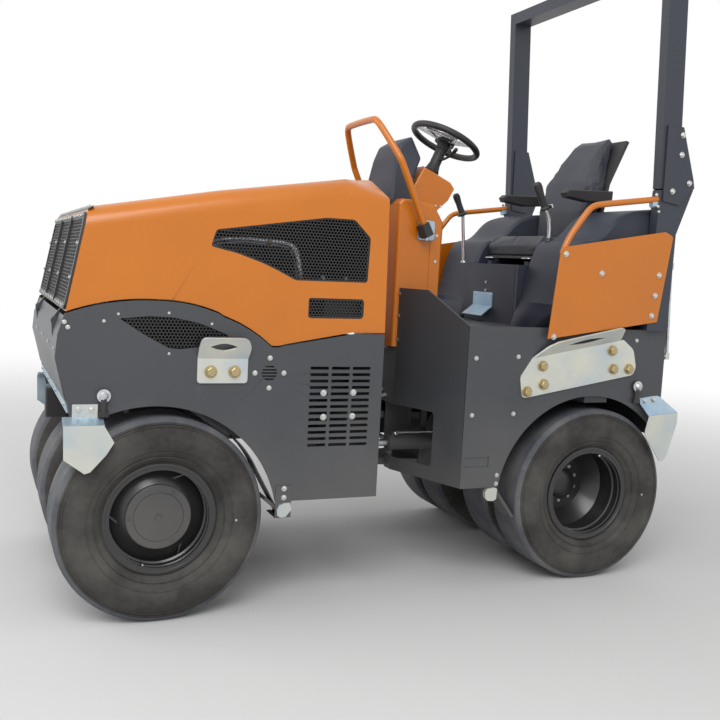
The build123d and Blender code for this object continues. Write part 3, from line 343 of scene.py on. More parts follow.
def facing(place, normal, along=(0, 0, 1)):
    """A place in millimetres whose local Z is the normal and whose local Y runs as near as it can to along."""
    z = Vector(normal).normalized()
    x = Vector(along).cross(z)
    if x.length < 1e-6:
        x = Vector((1, 0, 0))
    x.normalize()
    turn = Matrix((x, z.cross(x), z)).transposed()
    return Matrix.Translation(Vector(place) * MM) @ turn.to_4x4()


class Piece:
    """One joined mesh of small forms, drawn in millimetres, with a material slot for each finish."""

    def __init__(self, name, body, slot):
        self.name = name
        self.body = body
        self.slot = slot
        self.points = []
        self.faces = []
        self.finishes = []

    def add(self, points, faces, finish, matrix=None):
        if finish not in self.finishes:
            self.finishes.append(finish)
        start = len(self.points)
        for point in points:
            spot = Vector(point) * MM
            self.points.append(matrix @ spot if matrix else spot)
        index = self.finishes.index(finish)
        self.faces += [([start + i for i in face], index) for face in faces]
        return self

    def prism(self, outline, low, high, finish, matrix=None):
        """An outline in local XY drawn out between two local heights."""
        points = [(x, y, z) for z in (low, high) for x, y in outline]
        return self.add(points, walls(2, len(outline), caps=True), finish, matrix)

    def box(self, size, finish, matrix, edge=1.0):
        """A block centred on the matrix, with its long edges cut back."""
        x, y, z = (s / 2 for s in size)
        outline = [(x - edge, -y), (x, -y + edge), (x, y - edge), (x - edge, y),
                   (edge - x, y), (-x, y - edge), (-x, edge - y), (edge - x, -y)]
        return self.prism(outline, -z, z, finish, matrix)

    def lathe(self, profile, finish, matrix, steps=24):
        """A profile of (radius, height) turned about local Z."""
        points = [(*spot, height) for radius, height in profile for spot in circle(radius, steps)]
        return self.add(points, walls(len(profile), steps), finish, matrix)

    def tube(self, route, radius, finish, steps=12, rounds=3):
        """A round bar along a route whose corners are smoothed."""
        line = [Vector(p) for p in route]
        for _ in range(rounds):
            smooth = [line[0]]
            for a, b in zip(line, line[1:]):
                smooth += [a.lerp(b, 0.25), a.lerp(b, 0.75)]
            line = smooth + [line[-1]]
        side = (line[1] - line[0]).normalized().orthogonal().normalized()
        points = []
        for behind, spot, ahead in zip(line[:1] + line, line, line[1:] + line[-1:]):
            way = (ahead - behind).normalized()
            side = (side - way * side.dot(way)).normalized()
            other = way.cross(side)
            points += [spot + side * x + other * y for x, y in circle(radius, steps)]
        return self.add(points, walls(len(line), steps, caps=True), finish)

    def cutout(self, outer, holes, low, high, finish, matrix, edge=0.8, rounds=1):
        """A flat plate with holes and softened edges, between two local heights."""
        curve = bpy.data.curves.new(self.name + "_outline", "CURVE")
        curve.dimensions = "2D"
        curve.fill_mode = "BOTH"
        for outline in [outer, *holes]:
            spline = curve.splines.new("POLY")
            spline.points.add(len(outline) - 1)
            for point, (x, y) in zip(spline.points, outline):
                point.co = (x * MM, y * MM, 0, 1)
            spline.use_cyclic_u = True
        curve.extrude = ((high - low) / 2 - edge) * MM
        curve.bevel_depth = edge * MM
        curve.offset = -edge * MM
        curve.bevel_resolution = rounds
        drawn = bpy.data.objects.new(self.name + "_outline", curve)
        mesh = bpy.data.meshes.new_from_object(drawn)
        shift = Vector((0, 0, (low + high) / 2))
        points = [vertex.co / MM + shift for vertex in mesh.vertices]
        faces = [list(polygon.vertices) for polygon in mesh.polygons]
        bpy.data.objects.remove(drawn)
        bpy.data.curves.remove(curve)
        bpy.data.meshes.remove(mesh)
        return self.add(points, faces, finish, matrix)

    def mirror(self):
        """Repeats every face on the other side of the machine."""
        count = len(self.points)
        self.points += [Vector((spot.x, -spot.y, spot.z)) for spot in self.points]
        self.faces += [([count + corner for corner in face[::-1]], index) for face, index in self.faces]
        return self

    def bolt(self, place, normal, size, finish="bolt", turn=0.3):
        """A washer under a hexagon head; size is the washer's radius."""
        spot = facing(place, normal) @ Matrix.Rotation(turn, 4, "Z")
        self.lathe([(size, 0), (size, size * 0.16), (size * 0.5, size * 0.18)], finish, spot, 20)
        low, high, reach = size * 0.16, size * 0.75, size * 0.78
        points = [(*corner, height) for radius, height in ((reach, low), (reach, high * 0.9), (reach * 0.84, high))
                  for corner in circle(radius, 6)]
        return self.add(points, walls(3, 6) + [list(range(12, 18))], finish, spot)

    def screw(self, place, normal, size, finish="bolt"):
        """A low round head with a socket."""
        profile = [(size, 0), (size, size * 0.25), (size * 0.75, size * 0.55), (size * 0.38, size * 0.66),
                   (size * 0.34, size * 0.30), (0.01, size * 0.26)]
        return self.lathe(profile, finish, facing(place, normal), 16)

    def build(self, sharp=32):
        mesh = drawn_mesh(self.name, self.points, [face for face, _ in self.faces])
        for name in self.finishes:
            mesh.materials.append(materials[name])
        mesh.polygons.foreach_set("material_index", [index for _, index in self.faces])
        mesh.shade_smooth()
        mesh.set_sharp_from_angle(angle=math.radians(sharp))
        piece = placed(self.name, mesh)
        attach(piece, self.body)
        return piece


def block(left, low, right, high):
    """The outline of a rectangle."""
    return [(left, low), (right, low), (right, high), (left, high)]


def inside(point, outline):
    """Whether a point lies in an outline."""
    x, y = point
    found = False
    for (x0, y0), (x1, y1) in zip(outline, outline[1:] + outline[:1]):
        if (y0 > y) != (y1 > y) and x < (x1 - x0) * (y - y0) / (y1 - y0) + x0:
            found = not found
    return found


def grown(outline, reach):
    """An outline moved out by a reach, corner by corner."""
    area = sum(x0 * y1 - x1 * y0 for (x0, y0), (x1, y1) in zip(outline, outline[1:] + outline[:1]))
    hand = 1 if area > 0 else -1
    result = []
    for k, spot in enumerate(outline):
        here = Vector(spot)
        a = (here - Vector(outline[k - 1])).normalized()
        b = (Vector(outline[(k + 1) % len(outline)]) - here).normalized()
        normal_a, normal_b = Vector((a.y, -a.x)) * hand, Vector((b.y, -b.x)) * hand
        middle = (normal_a + normal_b).normalized()
        result.append(tuple(here + middle * reach / max(0.4, middle.dot(normal_a))))
    return result


def rounded(outline, radius, steps=5):
    """An outline whose corners are eased; a corner may bring its own radius."""
    result = []
    for k, spot in enumerate(outline):
        here = Vector(spot[:2])
        reach = spot[2] if len(spot) > 2 else radius
        before = Vector(outline[k - 1][:2]) - here
        after = Vector(outline[(k + 1) % len(outline)][:2]) - here
        a = here + before.normalized() * min(reach, before.length * 0.45)
        b = here + after.normalized() * min(reach, after.length * 0.45)
        for j in range(steps + 1):
            t = j / steps
            result.append(tuple(a * (1 - t) ** 2 + here * (2 * t * (1 - t)) + b * t ** 2))
    return result


def honeycomb(piece, outline, matrix, pitch, bar, thick):
    """A flat screen of hexagon holes that fills an outline in local XY."""
    xs, ys = [x for x, _ in outline], [y for _, y in outline]
    step_y = pitch * math.sqrt(3) / 2
    reach = pitch / math.sqrt(3)
    hole = (pitch - bar) / math.sqrt(3)
    corners = [polar(1, math.radians(60 * k + 30)) for k in range(6)]
    row, y = 0, min(ys)
    while y < max(ys):
        x = min(xs) + (pitch / 2 if row % 2 else 0)
        while x < max(xs):
            if inside((x, y), outline):
                points = [(x + c * r, y + s * r, z) for z, r in ((0, reach), (0, hole), (-thick, hole))
                          for c, s in corners]
                piece.add(points, walls(3, 6), "mesh", matrix)
            x += pitch
        y += step_y
        row += 1


def band(piece, outline, inner, low, high, matrix):
    """A frame between an outline and the same outline drawn in."""
    hole = grown(outline, -inner)
    count = len(outline)
    points = [(x, y, z) for z in (low, high) for ring in (outline, hole) for x, y in ring]
    faces = []
    for k in range(count):
        n = (k + 1) % count
        faces += [[k, n, count + n, count + k], [2 * count + k, 2 * count + n, 3 * count + n, 3 * count + k],
                  [k, n, 2 * count + n, 2 * count + k], [count + k, count + n, 3 * count + n, 3 * count + k]]
    piece.add(points, faces, "mesh", matrix)


def side_view(sign, y):
    """Local X is the frame's X, local Y its Z and local Z points out from that side."""
    turn = Matrix(((1, 0, 0), (0, 0, sign), (0, 1, 0)))
    return Matrix.Translation((0, sign * y * MM, 0)) @ turn.to_4x4()


# Local X is the frame's Y, local Y its Z and local Z its X
FRONT_VIEW = Matrix(((0, 0, 1, 0), (1, 0, 0, 0), (0, 1, 0, 0), (0, 0, 0, 1)))
SIDES = (1, -1)
# Widths from the middle plane: outer faces of the side plates and of what is bolted on them
PLATE_FACE = 620
BRACKET_FOOT = 624
BRACKET_FACE = 628
node_finish = {"side_mouldings": "navy_plastic", "foot_plate": "blue_zinc"}


def dress(node, name):
    data = nodes[node].data
    data.materials.clear()
    data.materials.append(materials[name])


def dress_where(node, name, test):
    """Gives a second finish to a node's faces whose middle, in millimetres, passes a test."""
    data = nodes[node].data
    data.materials.append(materials[name])
    index = len(data.materials) - 1
    for face in data.polygons:
        if test(face.center / MM):
            face.material_index = index


# Axles' places, the steering wheel's middle, lean and turn, and the radius at which the tread begins
AXLE_X, AXLE_Z = 956.5, 385
WHEEL_CENTRE = Vector((-455, 0, 1965))
WHEEL_LEAN = math.radians(24)
WHEEL_AXIS = Vector((-math.sin(WHEEL_LEAN), 0, math.cos(WHEEL_LEAN)))
WHEEL_AHEAD = Vector((math.cos(WHEEL_LEAN), 0, math.sin(WHEEL_LEAN)))
WHEEL_TURN = math.radians(52)
TREAD_START = 368


def wheel_reach(spot):
    return math.hypot(abs(spot.x) - AXLE_X, spot.z - AXLE_Z)


class ROLLER_OT_paint_nodes(bpy.types.Operator):
    """Gives every part of the frame its finish"""
    bl_idname = "roller.paint_nodes"
    bl_label = "Paint the frame's parts"

    def execute(self, context):
        make_finishes()
        slots = {part["node"]: part["material_slot"] for part in frame["record"]["subparts"]}
        for node in nodes:
            dress(node, node_finish.get(node, slots[node]))
        for node in nodes:
            if "tyre" in node:
                # Faces beyond the tread's start take the tread rubber, whose paler bluish grey is dust and painted sky
                # light
                dress_where(node, "tread", lambda spot: wheel_reach(spot) > TREAD_START)
        dress_where("steering_wheel", "steel", lambda spot: (
            52 < (spot - WHEEL_CENTRE).cross(WHEEL_AXIS).length < 146 and (spot - WHEEL_CENTRE).dot(WHEEL_AHEAD) > 18))
        dress_where("instrument_pod", "black_plastic", lambda spot: spot.x < -150)
        dress_where("front_guards", "blue_zinc", lambda spot: 626 < abs(spot.y) < 672 and spot.x > 1100)
        dress_where("front_guards", "plate", lambda spot: spot.x < 525 and abs(spot.y) > 619)
        dress_where("front_guards", "chassis", lambda spot: spot.x < 1100 and abs(spot.y) < 619)
        return {"FINISHED"}


GRILLE = dict(low=1148, high=1490, half=600, bars=200, border=26, foot_x=1312, foot_z=1100, slope=0.2)
# The hood's rear edge, its roof there, the face of its sides and the reach of its eased shoulder
HOOD_BACK = 97
HOOD_TOP = 1684
HOOD_FACE = 612
HOOD_SHOULDER = 70
SKIN = 0.1
SIDE_SCREEN = dict(pitch=13, bar=3.2, thick=2)
OLD_WINDOW = [(789, 1489), (796, 1436), (705, 1405), (603, 1358), (470, 1282), (167, 1286), (164, 1454),
              (232, 1527), (348, 1527)]
HOOD_WINDOW = [(783, 1457), (801, 1395), (700, 1374), (603, 1343), (545, 1319), (471, 1284), (175, 1286),
               (170, 1460), (240, 1527), (357, 1527)]
HOOD_VENT = [(415, 1220), (187, 1221), (187, 1145), (415, 1144)]
OLD_FIN = [(1108, 1124), (1048, 1131), (962, 1128), (852, 1104), (751, 1073), (690, 1046), (904, 1018)]
FIN_WINDOW = [(1122, 1124), (1018, 1135), (929, 1132), (838, 1114), (782, 1094), (722, 1070), (745, 1050),
              (835, 1026), (902, 1017), (945, 1021), (1030, 1066)]
LOUVRE_WINDOW = block(145, 634, 396, 962)
# The plates' upper edge where it comes down behind the front wheels, and the gap between it and the hood
SEAM_GAP = 6
SEAM = [(985, 1190), (940, 1189), (899, 1183), (840, 1169), (776, 1149), (728, 1132), (680, 1112), (640, 1090),
        (603, 1066), (575, 1044), (556, 1029)]


def prisms(name, outlines):
    """A hidden helper object of prisms on both sides, each an outline in X and Z between two widths."""
    piece = Piece(name, "", "")
    for outline, low, high in outlines:
        piece.prism(outline, low, high, "orange", side_view(1, 0))
    piece.mirror()
    return placed(name, drawn_mesh(name, piece.points, [face for face, _ in piece.faces]))


def recut(node, name, fills, cuts, body, slot, *also):
    """A copy of a sheet node with some openings closed by flush plates and others cut."""
    shell = placed(name, nodes[node].data.copy())
    patch = prisms(name + "_fill", fills)
    cutter = prisms(name + "_cut", [(outline, 590, 640) for outline in cuts])
    for target in (shell, patch):
        cut = target.modifiers.new("Cut", "BOOLEAN")
        cut.operation = "DIFFERENCE"
        cut.solver = "EXACT"
        cut.object = cutter
        bpy.context.view_layer.objects.active = target
        bpy.ops.object.modifier_apply(modifier=cut.name)
    work = bmesh.new()
    work.from_mesh(shell.data)
    work.from_mesh(patch.data)
    work.to_mesh(shell.data)
    work.free()
    for helper in (patch, cutter):
        bpy.data.objects.remove(helper)
    shell.data.materials.clear()
    shell.data.materials.append(materials[slot])
    for face in shell.data.polygons:
        face.material_index = 0
    shell.data.shade_smooth()
    shell.data.set_sharp_from_angle(angle=math.radians(25))
    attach(shell, body)
    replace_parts(shell, node, *also)
    return shell


class ROLLER_OT_screens(bpy.types.Operator):
    """Honeycomb screens in the hood's windows, the nose and the side plates"""
    bl_idname = "roller.screens"
    bl_label = "Make the screens"

    def execute(self, context):
        self.hood_shell()
        self.side_plates()
        screens = Piece("hood_honeycomb", "hood", "mesh")
        for sign in SIDES:
            for outline in (HOOD_WINDOW, HOOD_VENT):
                honeycomb(screens, grown(outline, 4), side_view(sign, 606.4), **SIDE_SCREEN)
                band(screens, grown(outline, 11), 17, -2, 0.3, side_view(sign, 606.5))
        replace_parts(screens.build(), "hood_screens")
        fins = Piece("fin_honeycomb", "front_frame", "mesh")
        for sign in SIDES:
            honeycomb(fins, grown(FIN_WINDOW, 2), side_view(sign, 616), **SIDE_SCREEN)
        fins.build()
        self.grille()
        return {"FINISHED"}

    def hood_shell(self):
        """The hood with its windows and lower edge cut to the seam, and its inner faces black as painted shade inside
        the hood.
        """
        seam = [(x, z + SEAM_GAP) for x, z in SEAM]
        shell = recut("hood", "hood_shell", [(grown(OLD_WINDOW, 4), 607.1, 611.95)],
                      [rounded(HOOD_WINDOW, 12), rounded(HOOD_VENT, 10), seam + [(556, 980), (985, 980)]],
                      "hood", "orange")
        for name in ("black_plastic", "plate"):
            shell.data.materials.append(materials[name])
        # Faces that look into the hood take the black plastic finish as painted shade inside it; the nose's low
        # corners take the plate paint
        middle = Vector((600, 0, 1150)) * MM
        for face in shell.data.polygons:
            outward = face.center - middle
            if abs(face.center.x) > 1.25 and face.center.z < 1.145:
                face.material_index = 2
            elif face.normal.dot(outward) < 0 and face.area > 0.00002:
                face.material_index = 1
        self.hood_tail()

    def hood_tail(self):
        """The tail of the hood, where the shoulders slope down and the roof runs on to the rear edge."""
        rear = [(611.4, 1530), (612.05, 1550), (612.05, 1604), (609, 1614), (600, 1622), (520, 1655), (428, 1693),
                (391, 1703), (340, 1706.5), (200, 1707)]
        bend = [math.radians(turn) for turn in (0, 22.5, 45, 67.5, 90)]
        face, top, low = HOOD_FACE + SKIN, HOOD_TOP + SKIN, HOOD_TOP - HOOD_SHOULDER
        arc = [(face - HOOD_SHOULDER * (1 - math.cos(t)), top - HOOD_SHOULDER * (1 - math.sin(t))) for t in bend]
        front = [(611.4, low - 24), (612.05, low - 4)] + arc + [(y, top) for y in (391, 340, 200)]
        points = []
        places = (HOOD_BACK, 139, 181, 223, 265, 300)
        for x in places:
            share = (x - HOOD_BACK) / (265 - HOOD_BACK)
            arc = [(y0 + (y1 - y0) * share, z0 + (z1 - z0) * share) for (y0, z0), (y1, z1) in zip(rear, front)]
            if share > 1:
                # The last section dips just under the hood's skin
                arc = [(y - 1.2, z - 1.5 - 0.165 * (x - 265)) for y, z in front]
            whole = arc + [(-y, z) for y, z in reversed(arc)]
            points += [(x, y, z) for y, z in whole] + [(x, y * 0.9915, z - 4) for y, z in reversed(whole)]
        tail = Piece("hood_tail", "hood", "orange")
        tail.add(points, walls(len(places), 4 * len(rear), caps=True), "orange")
        tail.build()

    def side_plates(self):
        """The side plates with the slots, the fin window and the seam's edge."""
        slots = []
        for x in (359.5, 271.5, 183.5):
            for row in range(13):
                z = 950 - 25.2 * row
                slots.append(rounded(block(x - 38, z - 6, x + 38, z + 6), 3, 2))
        fills = [grown(OLD_FIN, 4), grown(LOUVRE_WINDOW, 3), SEAM + [(600, 1015), (763, 1130), (985, 1170)]]
        recut("front_side_plates", "side_plates_cut", [(outline, 612.1, 619.95) for outline in fills],
              [rounded(FIN_WINDOW, 10)] + slots, "front_frame", "plate", "louvre_panels")

    def grille(self):
        size = GRILLE
        middle = (size["low"] + size["high"]) / 2
        run = math.atan(size["slope"])
        place = (size["foot_x"] - size["slope"] * (middle - size["foot_z"]) + 0.3, 0, middle)
        nose = facing(place, (math.cos(run), 0, math.sin(run)))
        half, tall = size["half"], (size["high"] - size["low"]) / 2 / math.cos(run)
        corner = 16
        outline = [(half - corner, -tall), (half, corner - tall), (half, tall - 3 * corner), (half - corner, tall - 8),
                   (half - 3 * corner, tall), (3 * corner - half, tall), (corner - half, tall - 8),
                   (-half, tall - 3 * corner), (-half, corner - tall), (corner - half, -tall)]
        grille = Piece("grille_honeycomb", "hood", "mesh")
        honeycomb(grille, grown(outline, -12), nose @ Matrix.Translation((0, 0, 5 * MM)), pitch=15, bar=3.4, thick=2.5)
        band(grille, outline, size["border"], 0, 8, nose)
        bar = size["bars"]
        for x in (-bar, bar):
            grille.box((14, 2 * tall - 16, 14), "mesh", nose @ Matrix.Translation((x * MM, 0, 7 * MM)))
        # The strip over the grille, and the bolts in the strip and the border
        strip = [(1233.4, 1501), (1214, 1513.6), (1213, 1511.4), (1232, 1498)]
        grille.prism(strip, -590, 590, "plate", side_view(-1, 0))
        outward = nose.to_3x3() @ Vector((0, 0, 1))
        for x in range(-540, 541, 90):
            grille.bolt((1222, x, 1509), (0.56, 0, 0.83), 9)
            for y in (12 - tall, tall - 12):
                grille.bolt(at(nose, (x, y, 8)), outward, 9)
        for x, height in ((-half + 13, 8), (-bar, 14), (bar, 14), (half - 13, 8)):
            for y in (-60, 62):
                grille.bolt(at(nose, (x, y, height)), outward, 8)
        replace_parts(grille.build(), "front_grille")


class ROLLER_OT_sheets(bpy.types.Operator):
    """Lifting brackets, side panels, rear guards, rails and mouldings with their bends and soft edges"""
    bl_idname = "roller.sheets"
    bl_label = "Make the bent sheets"

    def execute(self, context):
        self.front_bracket()
        self.rear_bracket()
        self.panels()
        self.rear_guard()
        self.mouldings()
        return {"FINISHED"}

    def front_bracket(self):
        piece = Piece("front_lifting_plates", "front_frame", "zinc")
        base = [(649, 987, 2), (649, 893), (840, 893), (840, 987, 2)]
        holes = [round_hole(x, 933, 9) for x in FRONT_LIFT_BOLTS]
        piece.cutout(rounded(base, 14), holes, -4, 4, "zinc", side_view(1, BRACKET_FOOT), 1)
        lean = math.radians(26)
        up = (0, math.sin(lean), math.cos(lean))
        lip = [(95.5, -3, 1), (96, 40, 20), (90, 88, 22), (-84, 88, 26), (-104, 50, 26), (-95.5, -3, 1)]
        slot = lens(3, 50, 104, 30)
        piece.cutout(rounded(lip, 10), [slot], -4, 4, "zinc", bent((744.5, BRACKET_FOOT, 986), up), 1.2, 2)
        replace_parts(piece.mirror().build(), "front_lifting_brackets")

    def rear_bracket(self):
        piece = Piece("rear_lifting_plates", "rear_frame", "zinc")
        base = [(-546, 915), (-563, 823, 20), (-1138, 925), (-1152, 960), (-1131, 1040), (-1073, 1083, 2),
                (-602, 997, 2)]
        holes = [round_hole(x, z, 9) for x, z in REAR_LIFT_BOLTS]
        piece.cutout(rounded(base, 16), holes, -4, 4, "zinc", side_view(1, BRACKET_FOOT), 1)
        lean = math.radians(33)
        along = Vector((-471, 0, 86)).normalized()
        up = Vector((along.z, 0, -along.x)) * math.cos(lean) + Vector((0, math.sin(lean), 0))
        if up.z < 0:
            up = Vector((-up.x, up.y, -up.z))
        lip = [(238, -3, 1), (170, 47, 12), (122, 64, 12), (-206, 74, 12), (-228, 62, 8), (-226, 36, 8), (-222, -3, 1)]
        slot = lens(-30, 36, 196, 22)
        piece.cutout(rounded([(-x, y, *r) for x, y, *r in lip], 12), [[(-x, y) for x, y in slot]], -4, 4, "zinc",
                     bent((-838, BRACKET_FOOT, 1041), up, along), 1.2, 2)
        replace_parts(piece.mirror().build(), "rear_lifting_brackets")

    def panels(self):
        piece = Piece("side_panel_sheets", "rear_frame", "orange")
        outline = [(-692, 1466), (-655, 1082, 4), (-1229, 1167, 5), (-1281, 1549), (-1238, 1569), (-706, 1474)]
        piece.cutout(rounded(outline, 10), [], -2.5, 2.5, "orange", side_view(1, 648), 1)
        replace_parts(piece.mirror().build(), "side_panels")
        piece = Piece("side_rail_tubes", "rear_frame", "orange")
        piece.tube([(-712, 631, 1446), (-724, 631, 1480), (-745, 631, 1524), (-800, 631, 1600), (-845, 631, 1656),
                    (-905, 631, 1668), (-1000, 631, 1682), (-1195, 631, 1711)], 13.5, "orange", 16, 2)
        piece.box((26, 30, 60), "blue_zinc", facing((-1190, 628, 1690), (1, 0, -0.15)), 6)
        for z in (1728, 1678, 1656):
            piece.bolt((-1176 - (1728 - z) * 0.25, 640, z), (0, 1, 0), 8)
        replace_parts(piece.mirror().build(), "side_rails")

    def rear_guard(self):
        piece = Piece("rear_guard_plates", "rear_frame", "zinc")
        flap = [(-1211, 745, 6), (-1372, 757, 6), (-1373, 708), (-1322, 545), (-1294, 529), (-1191, 662)]
        piece.cutout(rounded(flap, 20), [], -2, 2, "zinc", side_view(1, 672), 1)
        # The shelf that carries the flap slopes down from the side plate
        shelf = [(-1172, 618, 815), (-1180, 628, 812), (-1211, 671, 748), (-1372, 671, 760), (-1300, 628, 826),
                 (-1285, 618, 831)]
        points = [(x, y, z - drop) for drop in (0, 5) for x, y, z in shelf]
        faces = [list(range(6)), list(range(6, 12))[::-1]] + [face[::-1] for face in walls(2, 6)]
        piece.add(points, faces, "blue_zinc")
        for x in (-1212, -1262):
            piece.bolt((x, 634, 808 - (x + 1212) * 0.1), (0, 0.8, 0.6), 11)
        # Bracket behind the plate's corner, its clip and the blade that rubs the tyre
        piece.prism(REAR_CLIP, 613, 631, "zinc", side_view(1, 0))
        blade = [(-452, 438), (-467, 443), (-573, 303), (-560, 300)]
        piece.prism(blade, 518, 612, "chassis", side_view(1, 0))
        for y in (540, 590):
            piece.bolt((-458, y, 436), (0.8, 0, -0.6), 7)
        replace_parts(piece.mirror().build(), "rear_guards")
        piece = Piece("front_scraper_clips", "front_frame", "zinc")
        piece.prism(FRONT_CLIP, 620, 633, "zinc", side_view(1, 0))
        arm = [(857, 801), (868, 794), (706, 686), (696, 694)]
        piece.prism(arm, 560, 576, "chassis", side_view(1, 0))
        blade = [(494, 398), (505, 388), (563, 438), (556, 450)]
        piece.prism(blade, 520, 619, "chassis", side_view(1, 0))
        piece.mirror().build()

    def mouldings(self):
        piece = Piece("side_moulding_shells", "rear_frame", "navy_plastic")
        outline = [(-714, 1110, 2), (-728, 1160), (-757, 1222, 40), (-792, 1392, 60), (-826, 1480, 40), (-862, 1512),
                   (-905, 1514, 30), (-949, 1537, 40), (-1026, 1625, 60), (-1110, 1655, 50), (-1209, 1668, 2),
                   (-1209, 1110, 2)]
        piece.cutout(rounded(outline, 24, 6), [], -172, 172, "navy_plastic", side_view(1, 414), 16, 4)
        shell = piece.mirror().build(40)
        # The top slopes down outwards: each side is cut by a plane and closed again
        work = bmesh.new()
        work.from_mesh(shell.data)
        for sign in SIDES:
            side = [face for face in work.faces if face.calc_center_median().y * sign > 0]
            parts = side + list({edge for face in side for edge in face.edges})
            parts += list({vertex for face in side for vertex in face.verts})
            result = bmesh.ops.bisect_plane(work, geom=parts, plane_co=Vector((0, sign * 591, 1240)) * MM,
                                            plane_no=(0, sign * 130, -150), clear_outer=True)
            rim = [item for item in result["geom_cut"] if isinstance(item, bmesh.types.BMEdge)]
            bmesh.ops.contextual_create(work, geom=rim)
        work.to_mesh(shell.data)
        work.free()
        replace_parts(shell, "side_mouldings")


FRONT_CLIP = [(511, 378), (513, 400), (505, 418), (483, 426), (460, 426), (455, 398), (478, 370), (498, 370)]
REAR_CLIP = [(-409, 424), (-420, 438), (-455, 442), (-468, 436), (-466, 392), (-452, 384), (-424, 386), (-412, 400)]


def round_hole(x, y, radius):
    return [(x + across, y + up) for across, up in circle(radius, 20)]


def lens(x, y, length, height, steps=10):
    """A slot between two shallow arcs."""
    arc = [(length * (t / steps - 0.5), height / 2 * math.sin(math.pi * t / steps)) for t in range(steps)]
    return [(x + side * across, y + side * up) for side in SIDES for across, up in arc]


def bent(place, up, along=(1, 0, 0)):
    """Local X runs along a fold and local Y up the leaning sheet."""
    x = Vector(along).normalized()
    y = Vector(up).normalized()
    turn = Matrix((x, y, x.cross(y))).transposed()
    return Matrix.Translation(Vector(place) * MM) @ turn.to_4x4()


FRONT_LIFT_BOLTS = (700, 790)
REAR_LIFT_BOLTS = [(-655, 964), (-666, 884), (-584, 853), (-1014, 1034), (-1027, 952), (-1112, 952)]
PANEL_BOLTS = [(-716, 1445), (-907, 1371), (-1217, 1376), (-1204, 1285), (-1194, 1195), (-683, 1092)]


def both_sides(piece, rows, face):
    """Bolts of (x, z, washer radius) on both sides of the machine."""
    for sign in SIDES:
        for x, z, size in rows:
            piece.bolt((x, sign * face, z), (0, sign, 0), size)


class ROLLER_OT_fasteners(bpy.types.Operator):
    """Bolts, screws and washers on both frames"""
    bl_idname = "roller.fasteners"
    bl_label = "Add the fasteners"

    def execute(self, context):
        # Columns: x, z, washer radius
        upper = [(340, 853, 13), (215, 854, 13), (337, 758, 13), (215, 760, 13), (1175, 1114, 6), (1126, 1140, 5),
                 (948, 1148, 5), (944, 1001, 5), (790, 1112, 5), (1308, 1108, 8), (1296, 1090, 8)]
        upper += [(562 + x, 931 + z, 10) for x, z in ((57, 0), (-57, 0), (0, 57), (0, -57))]
        clips = [(485, 481, 11), (485, 446, 11), (1256, 802, 11), (1212, 800, 11)]
        bolts = Piece("front_bolts", "front_frame", "zinc")
        both_sides(bolts, upper, PLATE_FACE)
        both_sides(bolts, clips, BRACKET_FOOT)
        for sign in SIDES:
            for x in FRONT_LIFT_BOLTS:
                bolts.bolt((x, sign * BRACKET_FACE, 936), (0, sign, 0), 24, "old_bolt", 0.2 + x)
        for y in (-560, -300, 0, 300, 560):
            bolts.bolt((1334, y, 1010), (1, 0, 0.2), 8)
        bolts.build()
        rear = [(-331, 994, 10), (-535, 1002, 10), (-327, 754, 10), (-529, 757, 10), (-467, 493, 10),
                (-466, 456, 10), (-1150, 1080, 9)]
        bolts = Piece("rear_bolts", "rear_frame", "zinc")
        both_sides(bolts, rear, PLATE_FACE)
        both_sides(bolts, [(x, z, 13) for x, z in PANEL_BOLTS], 650.6)
        # Console flange
        both_sides(bolts, [(-318, z, 7) for z in (1180, 1385, 1500)], 223)
        for sign in SIDES:
            for x, z in REAR_LIFT_BOLTS:
                bolts.bolt((x, sign * BRACKET_FACE, z), (0, sign, 0), 24, "old_bolt", x)
            for z in (1032, 1138, 1236):
                bolts.bolt((-151, sign * 224, z), (0.93, sign * 0.36, 0), 7)
            # Dash head
            for x in (-305, -330):
                bolts.screw((x, sign * 220, 1632), (0, sign, 0), 5)
        # Seat box
        for z in (1262, 1301):
            bolts.bolt((-735, -24, z), (1, 0, 0), 7)
        for y in (-120, 30):
            bolts.screw((-731, y, 1238), (1, 0, 0), 5)
        bolts.build()
        bolts = Piece("roll_bar_bolts", "roll_bar", "zinc")
        both_sides(bolts, [(-1283, 1995, 13), (-1285, 1910, 13), (-1250, 1748, 13), (-1340, 1790, 13)], 653.5)
        bolts.build()
        return {"FINISHED"}


# Half the rim's width, and the widths of the outer wheels' middles and the rear disc from the middle plane
RIM_HALF = 75
FRONT_WHEEL = 527.5
REAR_WHEEL = 522.5
REAR_DISC = 388


